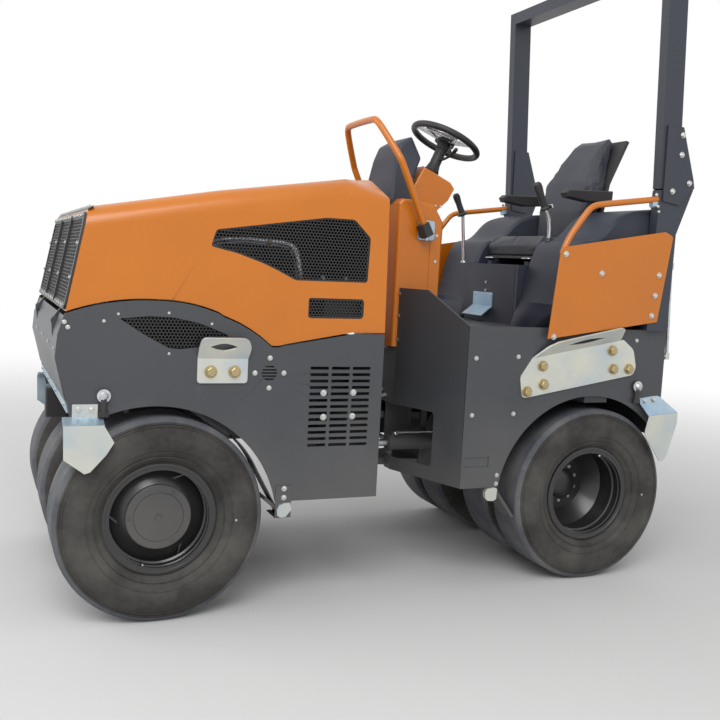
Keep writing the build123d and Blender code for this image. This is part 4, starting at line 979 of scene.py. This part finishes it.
class ROLLER_OT_wheels(bpy.types.Operator):
    """Hub rings, gussets, wheel bolts, valves and the tyres' raised rings"""
    bl_idname = "roller.wheels"
    bl_label = "Add the wheel details"

    def execute(self, context):
        for name, sign in (("left", 1), ("right", -1)):
            wheel = Piece("front_hub_details_" + name, "front_wheel_" + name, "rim")
            out = facing((AXLE_X, sign * FRONT_WHEEL, AXLE_Z), (0, sign, 0))
            wheel.lathe([(122, 30), (122, 53), (119, 55.5), (94, 56), (92.5, 54), (91, 56), (14, 57), (12, 54),
                         (0.01, 53)], "chassis", out, 72)
            for turn in (60, 180, 300):
                way = math.radians(turn)
                wheel.bolt(at(out, (*polar(107, way), 56)), (0, sign, 0), 6, "chassis")
                arm = out @ Matrix.Rotation(way, 4, "Z")
                wheel.prism([(104, 52), (112, 58), (183, -8), (183, -16)], 18, 24, "rim", arm)
            self.rim(wheel, out, 250)
            wheel.build()
            tyre = Piece("front_tyre_rings_" + name, "front_wheel_" + name, "tyre")
            self.rings(tyre, out)
            tyre.build()
        for name, sign in (("left", 1), ("right", -1)):
            wheel = Piece("rear_hub_details_" + name, "rear_wheels_" + name, "rim")
            out = facing((-AXLE_X, sign * REAR_WHEEL, AXLE_Z), (0, sign, 0))
            deep = facing((-AXLE_X, sign * REAR_DISC, AXLE_Z), (0, sign, 0))
            wheel.lathe([(70, 12), (70, 24), (62, 30), (30, 33), (0.01, 33)], "rim", deep, 40)
            for k in range(10):
                way = math.radians(36 * k + 20)
                wheel.bolt(at(deep, (*polar(88, way), 0.5)), (0, sign, 0), 8)
            self.rim(wheel, out, 75)
            wheel.build()
            tyre = Piece("rear_tyre_rings_" + name, "rear_wheels_" + name, "tyre")
            self.rings(tyre, out)
            tyre.build()
        return {"FINISHED"}

    def rim(self, wheel, out, valve_turn):
        """Rolled edges on the flange, a step in the barrel and the valve."""
        half, bore, seat = RIM_HALF, 184.6, 178
        for profile in ([(206, half + 8), (209, half + 9.5), (205, half + 11), (198, half + 10), (196, half + 8)],
                        [(bore, half - 6), (181, half - 8), (181, half - 20), (bore, half - 24)],
                        [(bore, half - 44), (seat, half - 48), (seat, half - 56), (bore, half - 60)]):
            wheel.lathe(profile, "rim", out, 72)
        foot = Vector((*polar(seat, math.radians(valve_turn)), half - 22)) * MM
        valve = out @ Matrix.Translation(foot)
        wheel.lathe([(5, 0), (5, 14), (4, 16), (4, 34), (0.01, 34)], "black_plastic", valve, 14)
        wheel.lathe([(4.6, 26), (4.6, 38), (3, 40), (0.01, 40)], "steel", valve, 14)

    def rings(self, tyre, out):
        """Raised rings moulded on the sidewall."""
        for radius, height in ((236, 101.5), (268, 111.5), (352, 113.4), (361, 110.4)):
            tyre.lathe([(radius - 2.2, height), (radius, height + 1.6), (radius + 2.2, height)], "tyre", out, 96)
        tyre.lathe([(4.5, 0), (4.5, 2), (0.01, 2.4)], "bolt", out @ Matrix.Translation((0.281, -0.012, 0.1128)), 14)


class ROLLER_OT_engine(bpy.types.Operator):
    """Radiator, engine, air filter, silencer and a ribbed black sheet of painted shade under the hood"""
    bl_idname = "roller.engine"
    bl_label = "Fill the engine bay"

    def execute(self, context):
        parts = Piece("engine_bay", "front_frame", "steel")
        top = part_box("engine_block")[1][2] / MM
        # Radiator with its frame and fins
        frame_outline = rounded(block(-400, 1120, 400, 1450), 20)
        grid = block(-360, 1150, 360, 1420)
        parts.cutout(frame_outline, [rounded(grid, 6)], 1060, 1130, "chassis", FRONT_VIEW, 2)
        for k in range(60):
            y = -354 + 12 * k
            parts.prism(block(y, 1150, y + 2, 1420), 1072, 1118, "steel", FRONT_VIEW)
        parts.prism(grid, 1092, 1096, "black_plastic", FRONT_VIEW)
        # Fan cowl
        fan = facing((1058, 0, 1285), (-1, 0, 0))
        parts.lathe([(260, 0), (220, 10), (212, 50), (206, 50), (212, 8), (250, -2)], "black_plastic", fan, 40)
        for k in range(7):
            blade = fan @ Matrix.Rotation(k * math.tau / 7, 4, "Z") @ Matrix.Rotation(0.5, 4, "X")
            parts.prism([(40, -26), (196, -44), (200, 30), (40, 22)], 28, 31, "black_plastic", blade)
        parts.lathe([(52, 14), (52, 44), (40, 52), (0.01, 54)], "steel", fan, 24)
        # Block, rocker cover and its nuts
        parts.cutout(rounded(block(450, top - 8, 980, top + 84), 14), [], -150, 150, "chassis", side_view(1, 0), 8, 3)
        cover = rounded([(480, top + 80), (940, top + 80), (925, top + 168), (495, top + 168)], 30)
        parts.cutout(cover, [], -88, 88, "chassis", side_view(1, 0), 14, 3)
        for x in (540, 710, 880):
            parts.lathe([(16, 0), (16, 10), (10, 14), (0.01, 15)], "black_plastic",
                        facing((x, 0, top + 166), (0, 0, 1)), 20)
        for k in range(6):
            x = 500 + 84 * k
            parts.tube([(x, 150, top + 40), (x, 196, top + 44), (x, 216, top + 4)], 17, "old_bolt", 14)
        # Air filter
        filter_place = facing((430, -250, 1420), (1, 0, 0))
        parts.lathe([(0.01, 0), (76, 0), (88, 12), (88, 250), (94, 254), (94, 268), (88, 272), (84, 318), (40, 330),
                     (0.01, 330)], "black_plastic", filter_place, 40)
        parts.tube([(760, -250, 1420), (830, -250, 1420), (860, -160, 1380), (820, -60, top + 120)], 34,
                   "black_plastic", 18)
        # Silencer and its pipe that runs behind the hood's window
        parts.lathe([(0.01, 0), (60, 0), (72, 10), (72, 340), (60, 350), (0.01, 350)], "old_bolt",
                    facing((700, 300, 1220), (1, 0, 0)), 36)
        parts.tube([(780, 330, 1400), (700, 346, 1430), (612, 352, 1438), (560, 352, 1436), (470, 352, 1432),
                    (412, 352, 1424), (384, 352, 1390), (366, 350, 1300), (352, 340, 1160)], 24, "steel", 20)
        parts.lathe([(29, 0), (30, 8), (30, 14), (27, 16)], "old_bolt", facing((500, 352, 1433), (1, 0, 0)), 24)
        # Ribbed black sheet along the middle of the bay, painted shade that closes the view between the hood's
        # windows, and the bay's rear wall
        painted_shade_sheet = [(132, 1112), (132, 1560), (250, 1640), (763, 1562), (1040, 1505), (1040, 1112)]
        parts.prism(painted_shade_sheet, -4, 0, "black_plastic", side_view(1, 30))
        for x in range(190, 1000, 90):
            parts.prism(block(x, 1130, x + 22, 1490), 0, 5, "black_plastic", side_view(1, 30))
        parts.prism([(-560, 1112), (560, 1112), (560, 1520), (500, 1580), (-500, 1580), (-560, 1520)], 126, 132,
                    "black_plastic", FRONT_VIEW)
        # Battery in front of the rear wall, with its poles
        parts.cutout(rounded(block(160, 1112, 330, 1290), 10), [], -90, 90, "black_plastic", side_view(1, 470), 5, 2)
        for x in (195, 295):
            parts.lathe([(12, 0), (12, 14), (8, 18), (0.01, 18)], "steel", facing((x, 440, 1289), (0, 0, 1)), 16)
        parts.build()
        return {"FINISHED"}


class ROLLER_OT_fittings(bpy.types.Operator):
    """Caps, cross bar, struts, hoses, steering ram details and controls"""
    bl_idname = "roller.fittings"
    bl_label = "Add the fittings"

    def execute(self, context):
        for name, body, x, z in (("front_caps", "front_frame", 1171, 850), ("rear_caps", "rear_frame", -1166, 874)):
            caps = Piece(name, body, "zinc")
            for sign in SIDES:
                out = facing((x, sign * 634, z), (0, sign, 0))
                caps.lathe([(24, -4), (25, 0), (24, 3), (15, 4), (14, 9), (9, 14), (0.01, 15)], "steel", out, 28)
                caps.lathe([(24, -4), (0.01, -5)], "steel", out, 28)
                caps.tube([(x, sign * 630, z - 6), (x, sign * 630, z - 74)], 13, "black_plastic", 16, 0)
                caps.box((34, 22, 20), "black_plastic", facing((x, sign * 628, z - 66), (0, 0, 1)))
                for turn in (0.4, 2.0, 3.5, 5.1):
                    caps.screw(at(out, (*polar(19.5, turn), 3)), (0, sign, 0), 2.6)
            caps.build()
        self.front()
        self.rear()
        self.station()
        return {"FINISHED"}

    def front(self):
        parts = Piece("front_fittings", "front_frame", "steel")
        parts.lathe([(27, -5), (0.01, -5)], "black_plastic", facing((562, 611, 931), (0, 1, 0)), 28)
        # Cross bar under the nose
        parts.box((1180, 40, 5), "blue_zinc", facing((1292, 0, 806), (1, 0, -0.25)))
        parts.box((1180, 30, 4), "zinc", facing((1277, 0, 786), (0, 0, 1), (1, 0, 0)))
        for y in (-520, -180, 180, 520):
            parts.bolt((1295.5, y, 806), (1, 0, -0.25), 8)
        parts.box((90, 60, 120), "black_plastic", facing((1272, -60, 722), (0, 0, 1)), 6)
        parts.build()

    def rear(self):
        parts = Piece("rear_fittings", "rear_frame", "zinc")
        for sign in SIDES:
            # Gas strut behind the post
            low, high = Vector((-1341, sign * 604, 1010)), Vector((-1322, sign * 604, 1420))
            parts.tube([low, low.lerp(high, 0.9)], 7.5, "steel", 16, 0)
            parts.tube([low.lerp(high, 0.89), high], 4.5, "black_plastic", 12, 0)
            for spot in (low, high):
                parts.box((22, 20, 30), "zinc", facing(spot, (0, 0, 1)), 4)
                parts.tube([spot + Vector((30, 0, 0)), spot], 6, "zinc", 12, 0)
            # Boots and plates at the feet of the hoop
            foot = rounded(block(-302, 1478, -218, 1565), 14)
            parts.cutout(foot, [], 229, 232, "blue_zinc", side_view(sign, 0))
            lean = facing((-238, sign * 262, 1520), (0.47, 0, 0.88), (1, 0, 0))
            parts.box((56, 50, 58), "black_plastic", lean, 10)
            parts.bolt((-262, sign * 232, 1484), (0, sign, 0), 8)
        # Unions on the bulkhead for the hoses, and dark sheets in frame paint behind its opening as painted shade
        for y, z in HOSE_PORTS:
            for height in (z, z + HOSE_SPAN):
                parts.tube([(-150, y, height), (-136, y, height)], HOSE_SIZE / 2 + 4, "bolt", 6, 0)
                parts.tube([(-136, y, height), (-116, y, height)], HOSE_SIZE / 2 + 2.5, "steel", 20)
        # Painted shade: dark sheets that close the view through the bulkhead's opening
        for sign in SIDES:
            parts.prism(block(-290, 540, -156, 735), 126, 130, "chassis", side_view(sign, 0))
        parts.build()
        for k, (y, z) in enumerate(HOSE_PORTS):
            hose(f"hose_{k + 1}", y, z)
        ram = Piece("steering_ram_fittings", "steering_barrel", "zinc")
        ram.tube([(-430, 200, 601), (-400, 200, 606), (-200, 200, 606), (-168, 200, 600)], 7, "bolt", 12)
        ram.lathe([(37, 0), (37, 20), (34, 22)], "chassis", facing((-157, 200, 560), (1, 0, 0)), 32)
        for x in (-172, -424):
            ram.box((34, 34, 26), "chassis", facing((x, 200, 596), (0, 0, 1)), 3)
            ram.lathe([(9, 0), (9, 16), (7, 17), (7, 34), (0.01, 34)], "steel", facing((x, 213, 600), (0, 1, 0.5)), 12)
        ram.build()

    def turned_wheel(self):
        """The steering wheel with its spokes as they stand in the photo."""
        wheel = placed("steering_wheel_turned", nodes["steering_wheel"].data.copy())
        centre = Matrix.Translation(WHEEL_CENTRE * MM)
        wheel.data.transform(centre @ Matrix.Rotation(WHEEL_TURN, 4, WHEEL_AXIS) @ centre.inverted())
        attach(wheel, "steering_wheel")
        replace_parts(wheel, "steering_wheel")

    def pod_and_hoop(self):
        """The dash pod with soft edges, and the grab hoop whose legs lean in towards the top."""
        pod = Piece("instrument_pod_shell", "rear_frame", "navy_plastic")
        profile = [(-112, 1636, 1), (-120, 1740), (-138, 1842), (-160, 1904), (-222, 1942), (-268, 1846), (-228, 1756),
                   (-226, 1636, 1)]
        pod.cutout(rounded(profile, 12, 4), [], -150, 150, "navy_plastic", side_view(1, 0), 16, 4)
        dial_panel = [(-229, 1770), (-264, 1846), (-226, 1925), (-218, 1925), (-252, 1846), (-218, 1770)]
        pod.cutout(rounded(dial_panel, 4), [], -104, 104, "black_plastic", side_view(1, 0), 2, 2)
        shell = pod.build(40)
        for vertex in shell.data.vertices:
            vertex.co.y *= 1 - 0.22 * max(0.0, min(1.0, (vertex.co.z - 1.72) / 0.21))
        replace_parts(shell, "instrument_pod")
        hoop = Piece("hoop_tube", "rear_frame", "orange")
        legs = [(-241, 262, 1524), (-172, 268, 1668), (-112, 268, 1796), (-98, 264, 1826), (-30, 190, 1962),
                (-20, 166, 1984), (-16, 140, 1993)]
        hoop.tube(legs + [(x, -y, z) for x, y, z in reversed(legs)], 15, "orange", 20, 2)
        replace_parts(hoop.build(), "hoop_rail")

    def station(self):
        self.pod_and_hoop()
        parts = Piece("console_fittings", "rear_frame", "black_plastic")
        # Boot at the column's foot and the column's stalk
        axis = WHEEL_AXIS
        foot = WHEEL_CENTRE - axis * 198
        parts.lathe([(42, -6), (40, 8), (34, 22), (36, 26), (31, 42), (27, 60)], "black_plastic",
                    facing(foot, axis), 28)
        stalk = WHEEL_CENTRE - axis * 120
        parts.tube([stalk, stalk + Vector((-20, 70, 10)), stalk + Vector((-30, 118, 34))], 6, "black_plastic", 12)
        parts.lathe([(6, 0), (9, 4), (9, 26), (5, 30), (0.01, 30)], "black_plastic",
                    facing(stalk + Vector((-30, 112, 32)), (-0.1, 0.8, 0.55)), 16)
        # Gauge and switches on the panel that faces the operator
        gauge = facing((-246, 40, 1880), (-0.9, 0, 0.42))
        parts.lathe([(42, -4), (42, 4), (38, 6), (36, 3), (0.01, 3)], "steel", gauge, 40)
        for y in (-92, -64, -36):
            parts.box((20, 30, 8), "black_plastic", facing((-247, y, 1876), (-0.9, 0, 0.42)), 3)
        parts.build()
        self.turned_wheel()
        hub = Piece("steering_wheel_cap", "steering_wheel", "black_plastic")
        way, across = WHEEL_TURN, Vector((0, 1, 0))
        wheel = bent(WHEEL_CENTRE, across * math.cos(way) - WHEEL_AHEAD * math.sin(way),
                     WHEEL_AHEAD * math.cos(way) + across * math.sin(way))
        outer = rounded([(118, -84), (118, 84), (24, 40), (24, -40)], 14)
        inner = rounded([(106, -66), (106, 66), (38, 33), (38, -33)], 10)
        hub.cutout(outer, [inner], -27, -9, "steel", wheel, 2, 2)
        hub.cutout(rounded([(84, -46), (84, 46), (38, 31), (38, -31)], 12), [], -24, -12, "steel", wheel, 2, 2)
        hub.lathe([(50, -9), (50, -4), (44, 4), (24, 8), (0.01, 9)], "black_plastic", facing(WHEEL_CENTRE, axis), 36)
        hub.build()
        seat = Piece("seat_fittings", "seat", "steel")
        for y in (-170, 170):
            seat.tube([(-846, y - 30, 1424), (-822, y - 30, 1424), (-816, y, 1424), (-822, y + 30, 1424),
                       (-846, y + 30, 1424)], 4, "steel", 12)
        seat.build()
        levers = Piece("control_lever_rods", "rear_frame", "steel")
        levers.tube([(-869, 288, 1504), (-871, 288, 1560), (-864, 288, 1605), (-846, 288, 1640), (-830, 288, 1664)],
                    9.5, "steel", 16, 2)
        levers.lathe([(20, 0), (18, 8), (10, 12)], "black_plastic", facing((-869, 288, 1511), (0, 0, 1)), 20)
        grip = facing((-838, 288, 1652), (0.44, 0, 0.9))
        levers.lathe([(9, -4), (22, -2), (23, 6), (16, 14), (17, 60), (21, 104), (20, 122), (13, 131), (0.01, 133)],
                     "black_plastic", grip, 24)
        levers.box((26, 9, 16), "steel", facing((-858, 306, 1668), (0.36, 0, 0.93)), 3)
        levers.tube([(-712, -222, 1390), (-705, -222, 1470), (-697, -222, 1540), (-688, -222, 1640)], 8.5, "steel",
                    16, 2)
        levers.lathe([(17, 0), (16, 7), (9, 10)], "steel", facing((-712, -222, 1391.5), (0, 0, 1)), 20)
        grip = facing((-688, -222, 1630), (0.42, 0, 0.9))
        levers.lathe([(9, -6), (25, 0), (26, 7), (16, 16), (15, 60), (18, 92), (17, 106), (10, 114), (0.01, 115)],
                     "black_plastic", grip, 24)
        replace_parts(levers.build(), "control_lever")


# Hydraulic hoses beside the centre joint: diameter, rise between a loop's ports and X where they leave;
# each loop has its low port at (y, z)
HOSE_SIZE = 13
HOSE_SPAN = 224
HOSE_EXIT = -130
HOSE_PORTS = [(92, 790), (134, 768), (-92, 790), (-134, 768)]


def hose(name, y, z):
    """A hose that loops forward out of the upper port and back into the lower one."""
    top = z + HOSE_SPAN
    route = [(HOSE_EXIT, top), (-84, top), (-30, top - 22), (-6, z + HOSE_SPAN / 2 - 6), (-30, z + 14), (-84, z - 6),
             (HOSE_EXIT, z)]
    curve = bpy.data.curves.new(name, "CURVE")
    curve.dimensions = "3D"
    curve.bevel_depth = HOSE_SIZE / 2 * MM
    curve.bevel_resolution = 4
    curve.resolution_u = 10
    spline = curve.splines.new("NURBS")
    spline.points.add(len(route) - 1)
    for point, (x, height) in zip(spline.points, route):
        point.co = (x * MM, y * MM, height * MM, 1)
    spline.order_u = 3
    spline.use_endpoint_u = True
    curve.materials.append(materials["black_plastic"])
    line = placed(name, curve)
    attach(line, "rear_frame")


CUSHION_SHRINK, CUSHION_PRESSURE, CUSHION_CAP, CUSHION_FILL = 5, 4.0, 10, 0.75


def swollen(node, name):
    """A cushion: the node's form remeshed, drawn in, blown up as cloth and capped."""
    pad = placed(name, nodes[node].data.copy())
    bpy.ops.object.select_all(action="DESELECT")
    bpy.context.view_layer.objects.active = pad
    pad.select_set(True)
    remesh = pad.modifiers.new("Remesh", "REMESH")
    remesh.mode = "VOXEL"
    remesh.voxel_size = 0.006
    bpy.ops.object.modifier_apply(modifier=remesh.name)
    work = bmesh.new()
    work.from_mesh(pad.data)
    work.normal_update()
    for vertex in work.verts:
        vertex.co -= vertex.normal * CUSHION_SHRINK * MM
    work.to_mesh(pad.data)
    work.free()
    start = [vertex.co.copy() for vertex in pad.data.vertices]
    cloth = pad.modifiers.new("Cloth", "CLOTH")
    cloth.settings.use_pressure = True
    cloth.settings.uniform_pressure_force = CUSHION_PRESSURE
    cloth.settings.effector_weights.gravity = 0
    cloth.settings.tension_stiffness = 18
    cloth.settings.bending_stiffness = 0.8
    for step in range(1, 21):
        bpy.context.scene.frame_set(step)
    bpy.ops.object.modifier_apply(modifier=cloth.name)
    bpy.context.scene.frame_set(1)
    for vertex, before in zip(pad.data.vertices, start):
        move = vertex.co - before
        if move.length > CUSHION_CAP * MM:
            vertex.co = before + move.normalized() * CUSHION_CAP * MM
    smooth = pad.modifiers.new("Smooth", "SUBSURF")
    smooth.levels = 1
    smooth.render_levels = 1
    bpy.ops.object.modifier_apply(modifier=smooth.name)
    pad.data.shade_smooth()
    pad.data.materials.clear()
    pad.data.materials.append(materials["seat_vinyl"])
    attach(pad, "seat")
    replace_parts(pad, node)


class ROLLER_OT_cushions(bpy.types.Operator):
    """Blown up seat cushion and back"""
    bl_idname = "roller.cushions"
    bl_label = "Pad the seat"

    def execute(self, context):
        swollen("seat_cushion", "seat_cushion_padded")
        swollen("seat_back", "seat_back_padded")
        return {"FINISHED"}


# Stage

CAMERA_PLACE = (1.6097, 3.9486, 1.3618)
CAMERA_YAW = -0.4024
CAMERA_PITCH = 0.1043
CAMERA_ROLL = -0.0519


def camera_matrix():
    """The camera's axes from its yaw, its downward pitch and its roll."""
    ahead = Vector((math.sin(CAMERA_YAW) * math.cos(CAMERA_PITCH),
                    -math.cos(CAMERA_YAW) * math.cos(CAMERA_PITCH), -math.sin(CAMERA_PITCH)))
    right = Vector((-math.cos(CAMERA_YAW), -math.sin(CAMERA_YAW), 0))
    down = ahead.cross(right)
    turned_right = math.cos(CAMERA_ROLL) * right + math.sin(CAMERA_ROLL) * down
    turned_down = math.cos(CAMERA_ROLL) * down - math.sin(CAMERA_ROLL) * right
    axes = Matrix((turned_right, -turned_down, -ahead)).transposed()
    return Matrix.Translation(CAMERA_PLACE) @ axes.to_4x4()


def seen_or_mirrored(tree):
    """1 for rays from the camera, a mirror or glass, and 0 for the rays that light things."""
    path = tree.nodes.new("ShaderNodeLightPath")
    total = path.outputs["Is Camera Ray"]
    for name in ("Is Glossy Ray", "Is Transmission Ray"):
        node = tree.nodes.new("ShaderNodeMath")
        node.operation = "MAXIMUM"
        tree.links.new(total, node.inputs[0])
        tree.links.new(path.outputs[name], node.inputs[1])
        total = node.outputs["Value"]
    return total


def soft_lamp(name, place, target, size, power):
    data = bpy.data.lights.new(name, "AREA")
    data.size = size
    data.energy = power
    lamp = placed(name, data)
    lamp.location = place
    lamp.rotation_mode = "QUATERNION"
    lamp.rotation_quaternion = (Vector(target) - Vector(place)).to_track_quat("-Z", "Y")


class ROLLER_OT_stage(bpy.types.Operator):
    """Sets the camera, the soft lamps and the plain floor"""
    bl_idname = "roller.stage"
    bl_label = "Set the stage"

    def execute(self, context):
        settings = context.scene.roller_stage
        camera = placed("Camera", bpy.data.cameras.new("Camera"))
        camera.data.lens = settings.focal_length
        camera.data.sensor_width = 36
        camera.data.clip_end = 200
        camera.matrix_world = camera_matrix()
        context.scene.camera = camera
        context.scene.view_settings.view_transform = "Standard"
        world = bpy.data.worlds.new("Studio")
        context.scene.world = world
        world.use_nodes = True
        tree = world.node_tree
        room = tree.nodes["Background"]
        room.inputs["Color"].default_value = (1, 1, 1, 1)
        room.inputs["Strength"].default_value = settings.world_strength
        backdrop = tree.nodes.new("ShaderNodeBackground")
        backdrop.inputs["Color"].default_value = (1, 1, 1, 1)
        share = tree.nodes.new("ShaderNodeMixShader")
        tree.links.new(seen_or_mirrored(tree), share.inputs["Fac"])
        tree.links.new(room.outputs["Background"], share.inputs[1])
        tree.links.new(backdrop.outputs["Background"], share.inputs[2])
        tree.links.new(share.outputs["Shader"], tree.nodes["World Output"].inputs["Surface"])
        soft_lamp("Key lamp", (2.5, 5.0, 5.5), (0, 0, 0.9), 4.0, settings.key_power)
        soft_lamp("Front lamp", (6.0, -1.0, 4.0), (0, 0, 0.9), 4.0, settings.fill_power)
        finish = Finish("Pale floor")
        grey = (settings.floor_tone,) * 3
        finish.set(roughness=0.85)
        finish.colour(finish.mix(finish.noise(1.5, 3), grey, darker(grey, 0.96)))
        # Far from the machine the floor turns into the same plain white as the room
        tree = finish.tree
        far = tree.nodes.new("ShaderNodeVectorMath")
        far.operation = "LENGTH"
        finish.link(finish.place, far.inputs[0])
        ramp = tree.nodes.new("ShaderNodeMapRange")
        ramp.interpolation_type = "SMOOTHSTEP"
        ramp.inputs["From Min"].default_value = 1.6
        ramp.inputs["From Max"].default_value = 9.0
        finish.link(far.outputs["Value"], ramp.inputs["Value"])
        white = tree.nodes.new("ShaderNodeEmission")
        share = tree.nodes.new("ShaderNodeMixShader")
        finish.link(finish.math("MULTIPLY", ramp.outputs["Result"], seen_or_mirrored(tree)), share.inputs["Fac"])
        finish.link(finish.shader.outputs["BSDF"], share.inputs[1])
        finish.link(white.outputs["Emission"], share.inputs[2])
        finish.link(share.outputs["Shader"], tree.nodes["Material Output"].inputs["Surface"])
        bpy.ops.mesh.primitive_plane_add(size=80)
        floor = context.object
        floor.name = "Floor"
        floor.data.materials.append(finish.material)
        return {"FINISHED"}


class ROLLER_PT_panel(bpy.types.Panel):
    """Colours, sizes and pieces of the roller"""
    bl_idname = "ROLLER_PT_panel"
    bl_label = "Tyre roller"
    bl_space_type = "VIEW_3D"
    bl_region_type = "UI"
    bl_category = "Roller"

    def draw(self, context):
        for settings in (context.scene.roller_finishes, context.scene.roller_stage):
            box = self.layout.box()
            for name in settings.bl_rna.properties.keys():
                if name not in ("rna_type", "name"):
                    box.prop(settings, name)
        for operator in OPERATORS:
            self.layout.operator(operator.bl_idname)


OPERATORS = (ROLLER_OT_paint_nodes, ROLLER_OT_screens, ROLLER_OT_sheets, ROLLER_OT_fasteners,
             ROLLER_OT_wheels, ROLLER_OT_engine, ROLLER_OT_fittings, ROLLER_OT_cushions, ROLLER_OT_stage)
GROUPS = {"roller_finishes": RollerFinishes, "roller_stage": RollerStage}


def register():
    for group in GROUPS.values():
        bpy.utils.register_class(group)
    for name, group in GROUPS.items():
        setattr(bpy.types.Scene, name, bpy.props.PointerProperty(type=group))
    for operator in OPERATORS:
        bpy.utils.register_class(operator)
    bpy.utils.register_class(ROLLER_PT_panel)


def unregister():
    bpy.utils.unregister_class(ROLLER_PT_panel)
    for operator in reversed(OPERATORS):
        bpy.utils.unregister_class(operator)
    for name in GROUPS:
        delattr(bpy.types.Scene, name)
    for group in GROUPS.values():
        bpy.utils.unregister_class(group)


def main():
    register()
    bpy.ops.roller.paint_nodes()
    bpy.ops.roller.screens()
    bpy.ops.roller.sheets()
    bpy.ops.roller.fasteners()
    bpy.ops.roller.wheels()
    bpy.ops.roller.engine()
    bpy.ops.roller.fittings()
    bpy.ops.roller.cushions()
    bpy.ops.roller.stage()


if __name__ == "__main__":
    main()
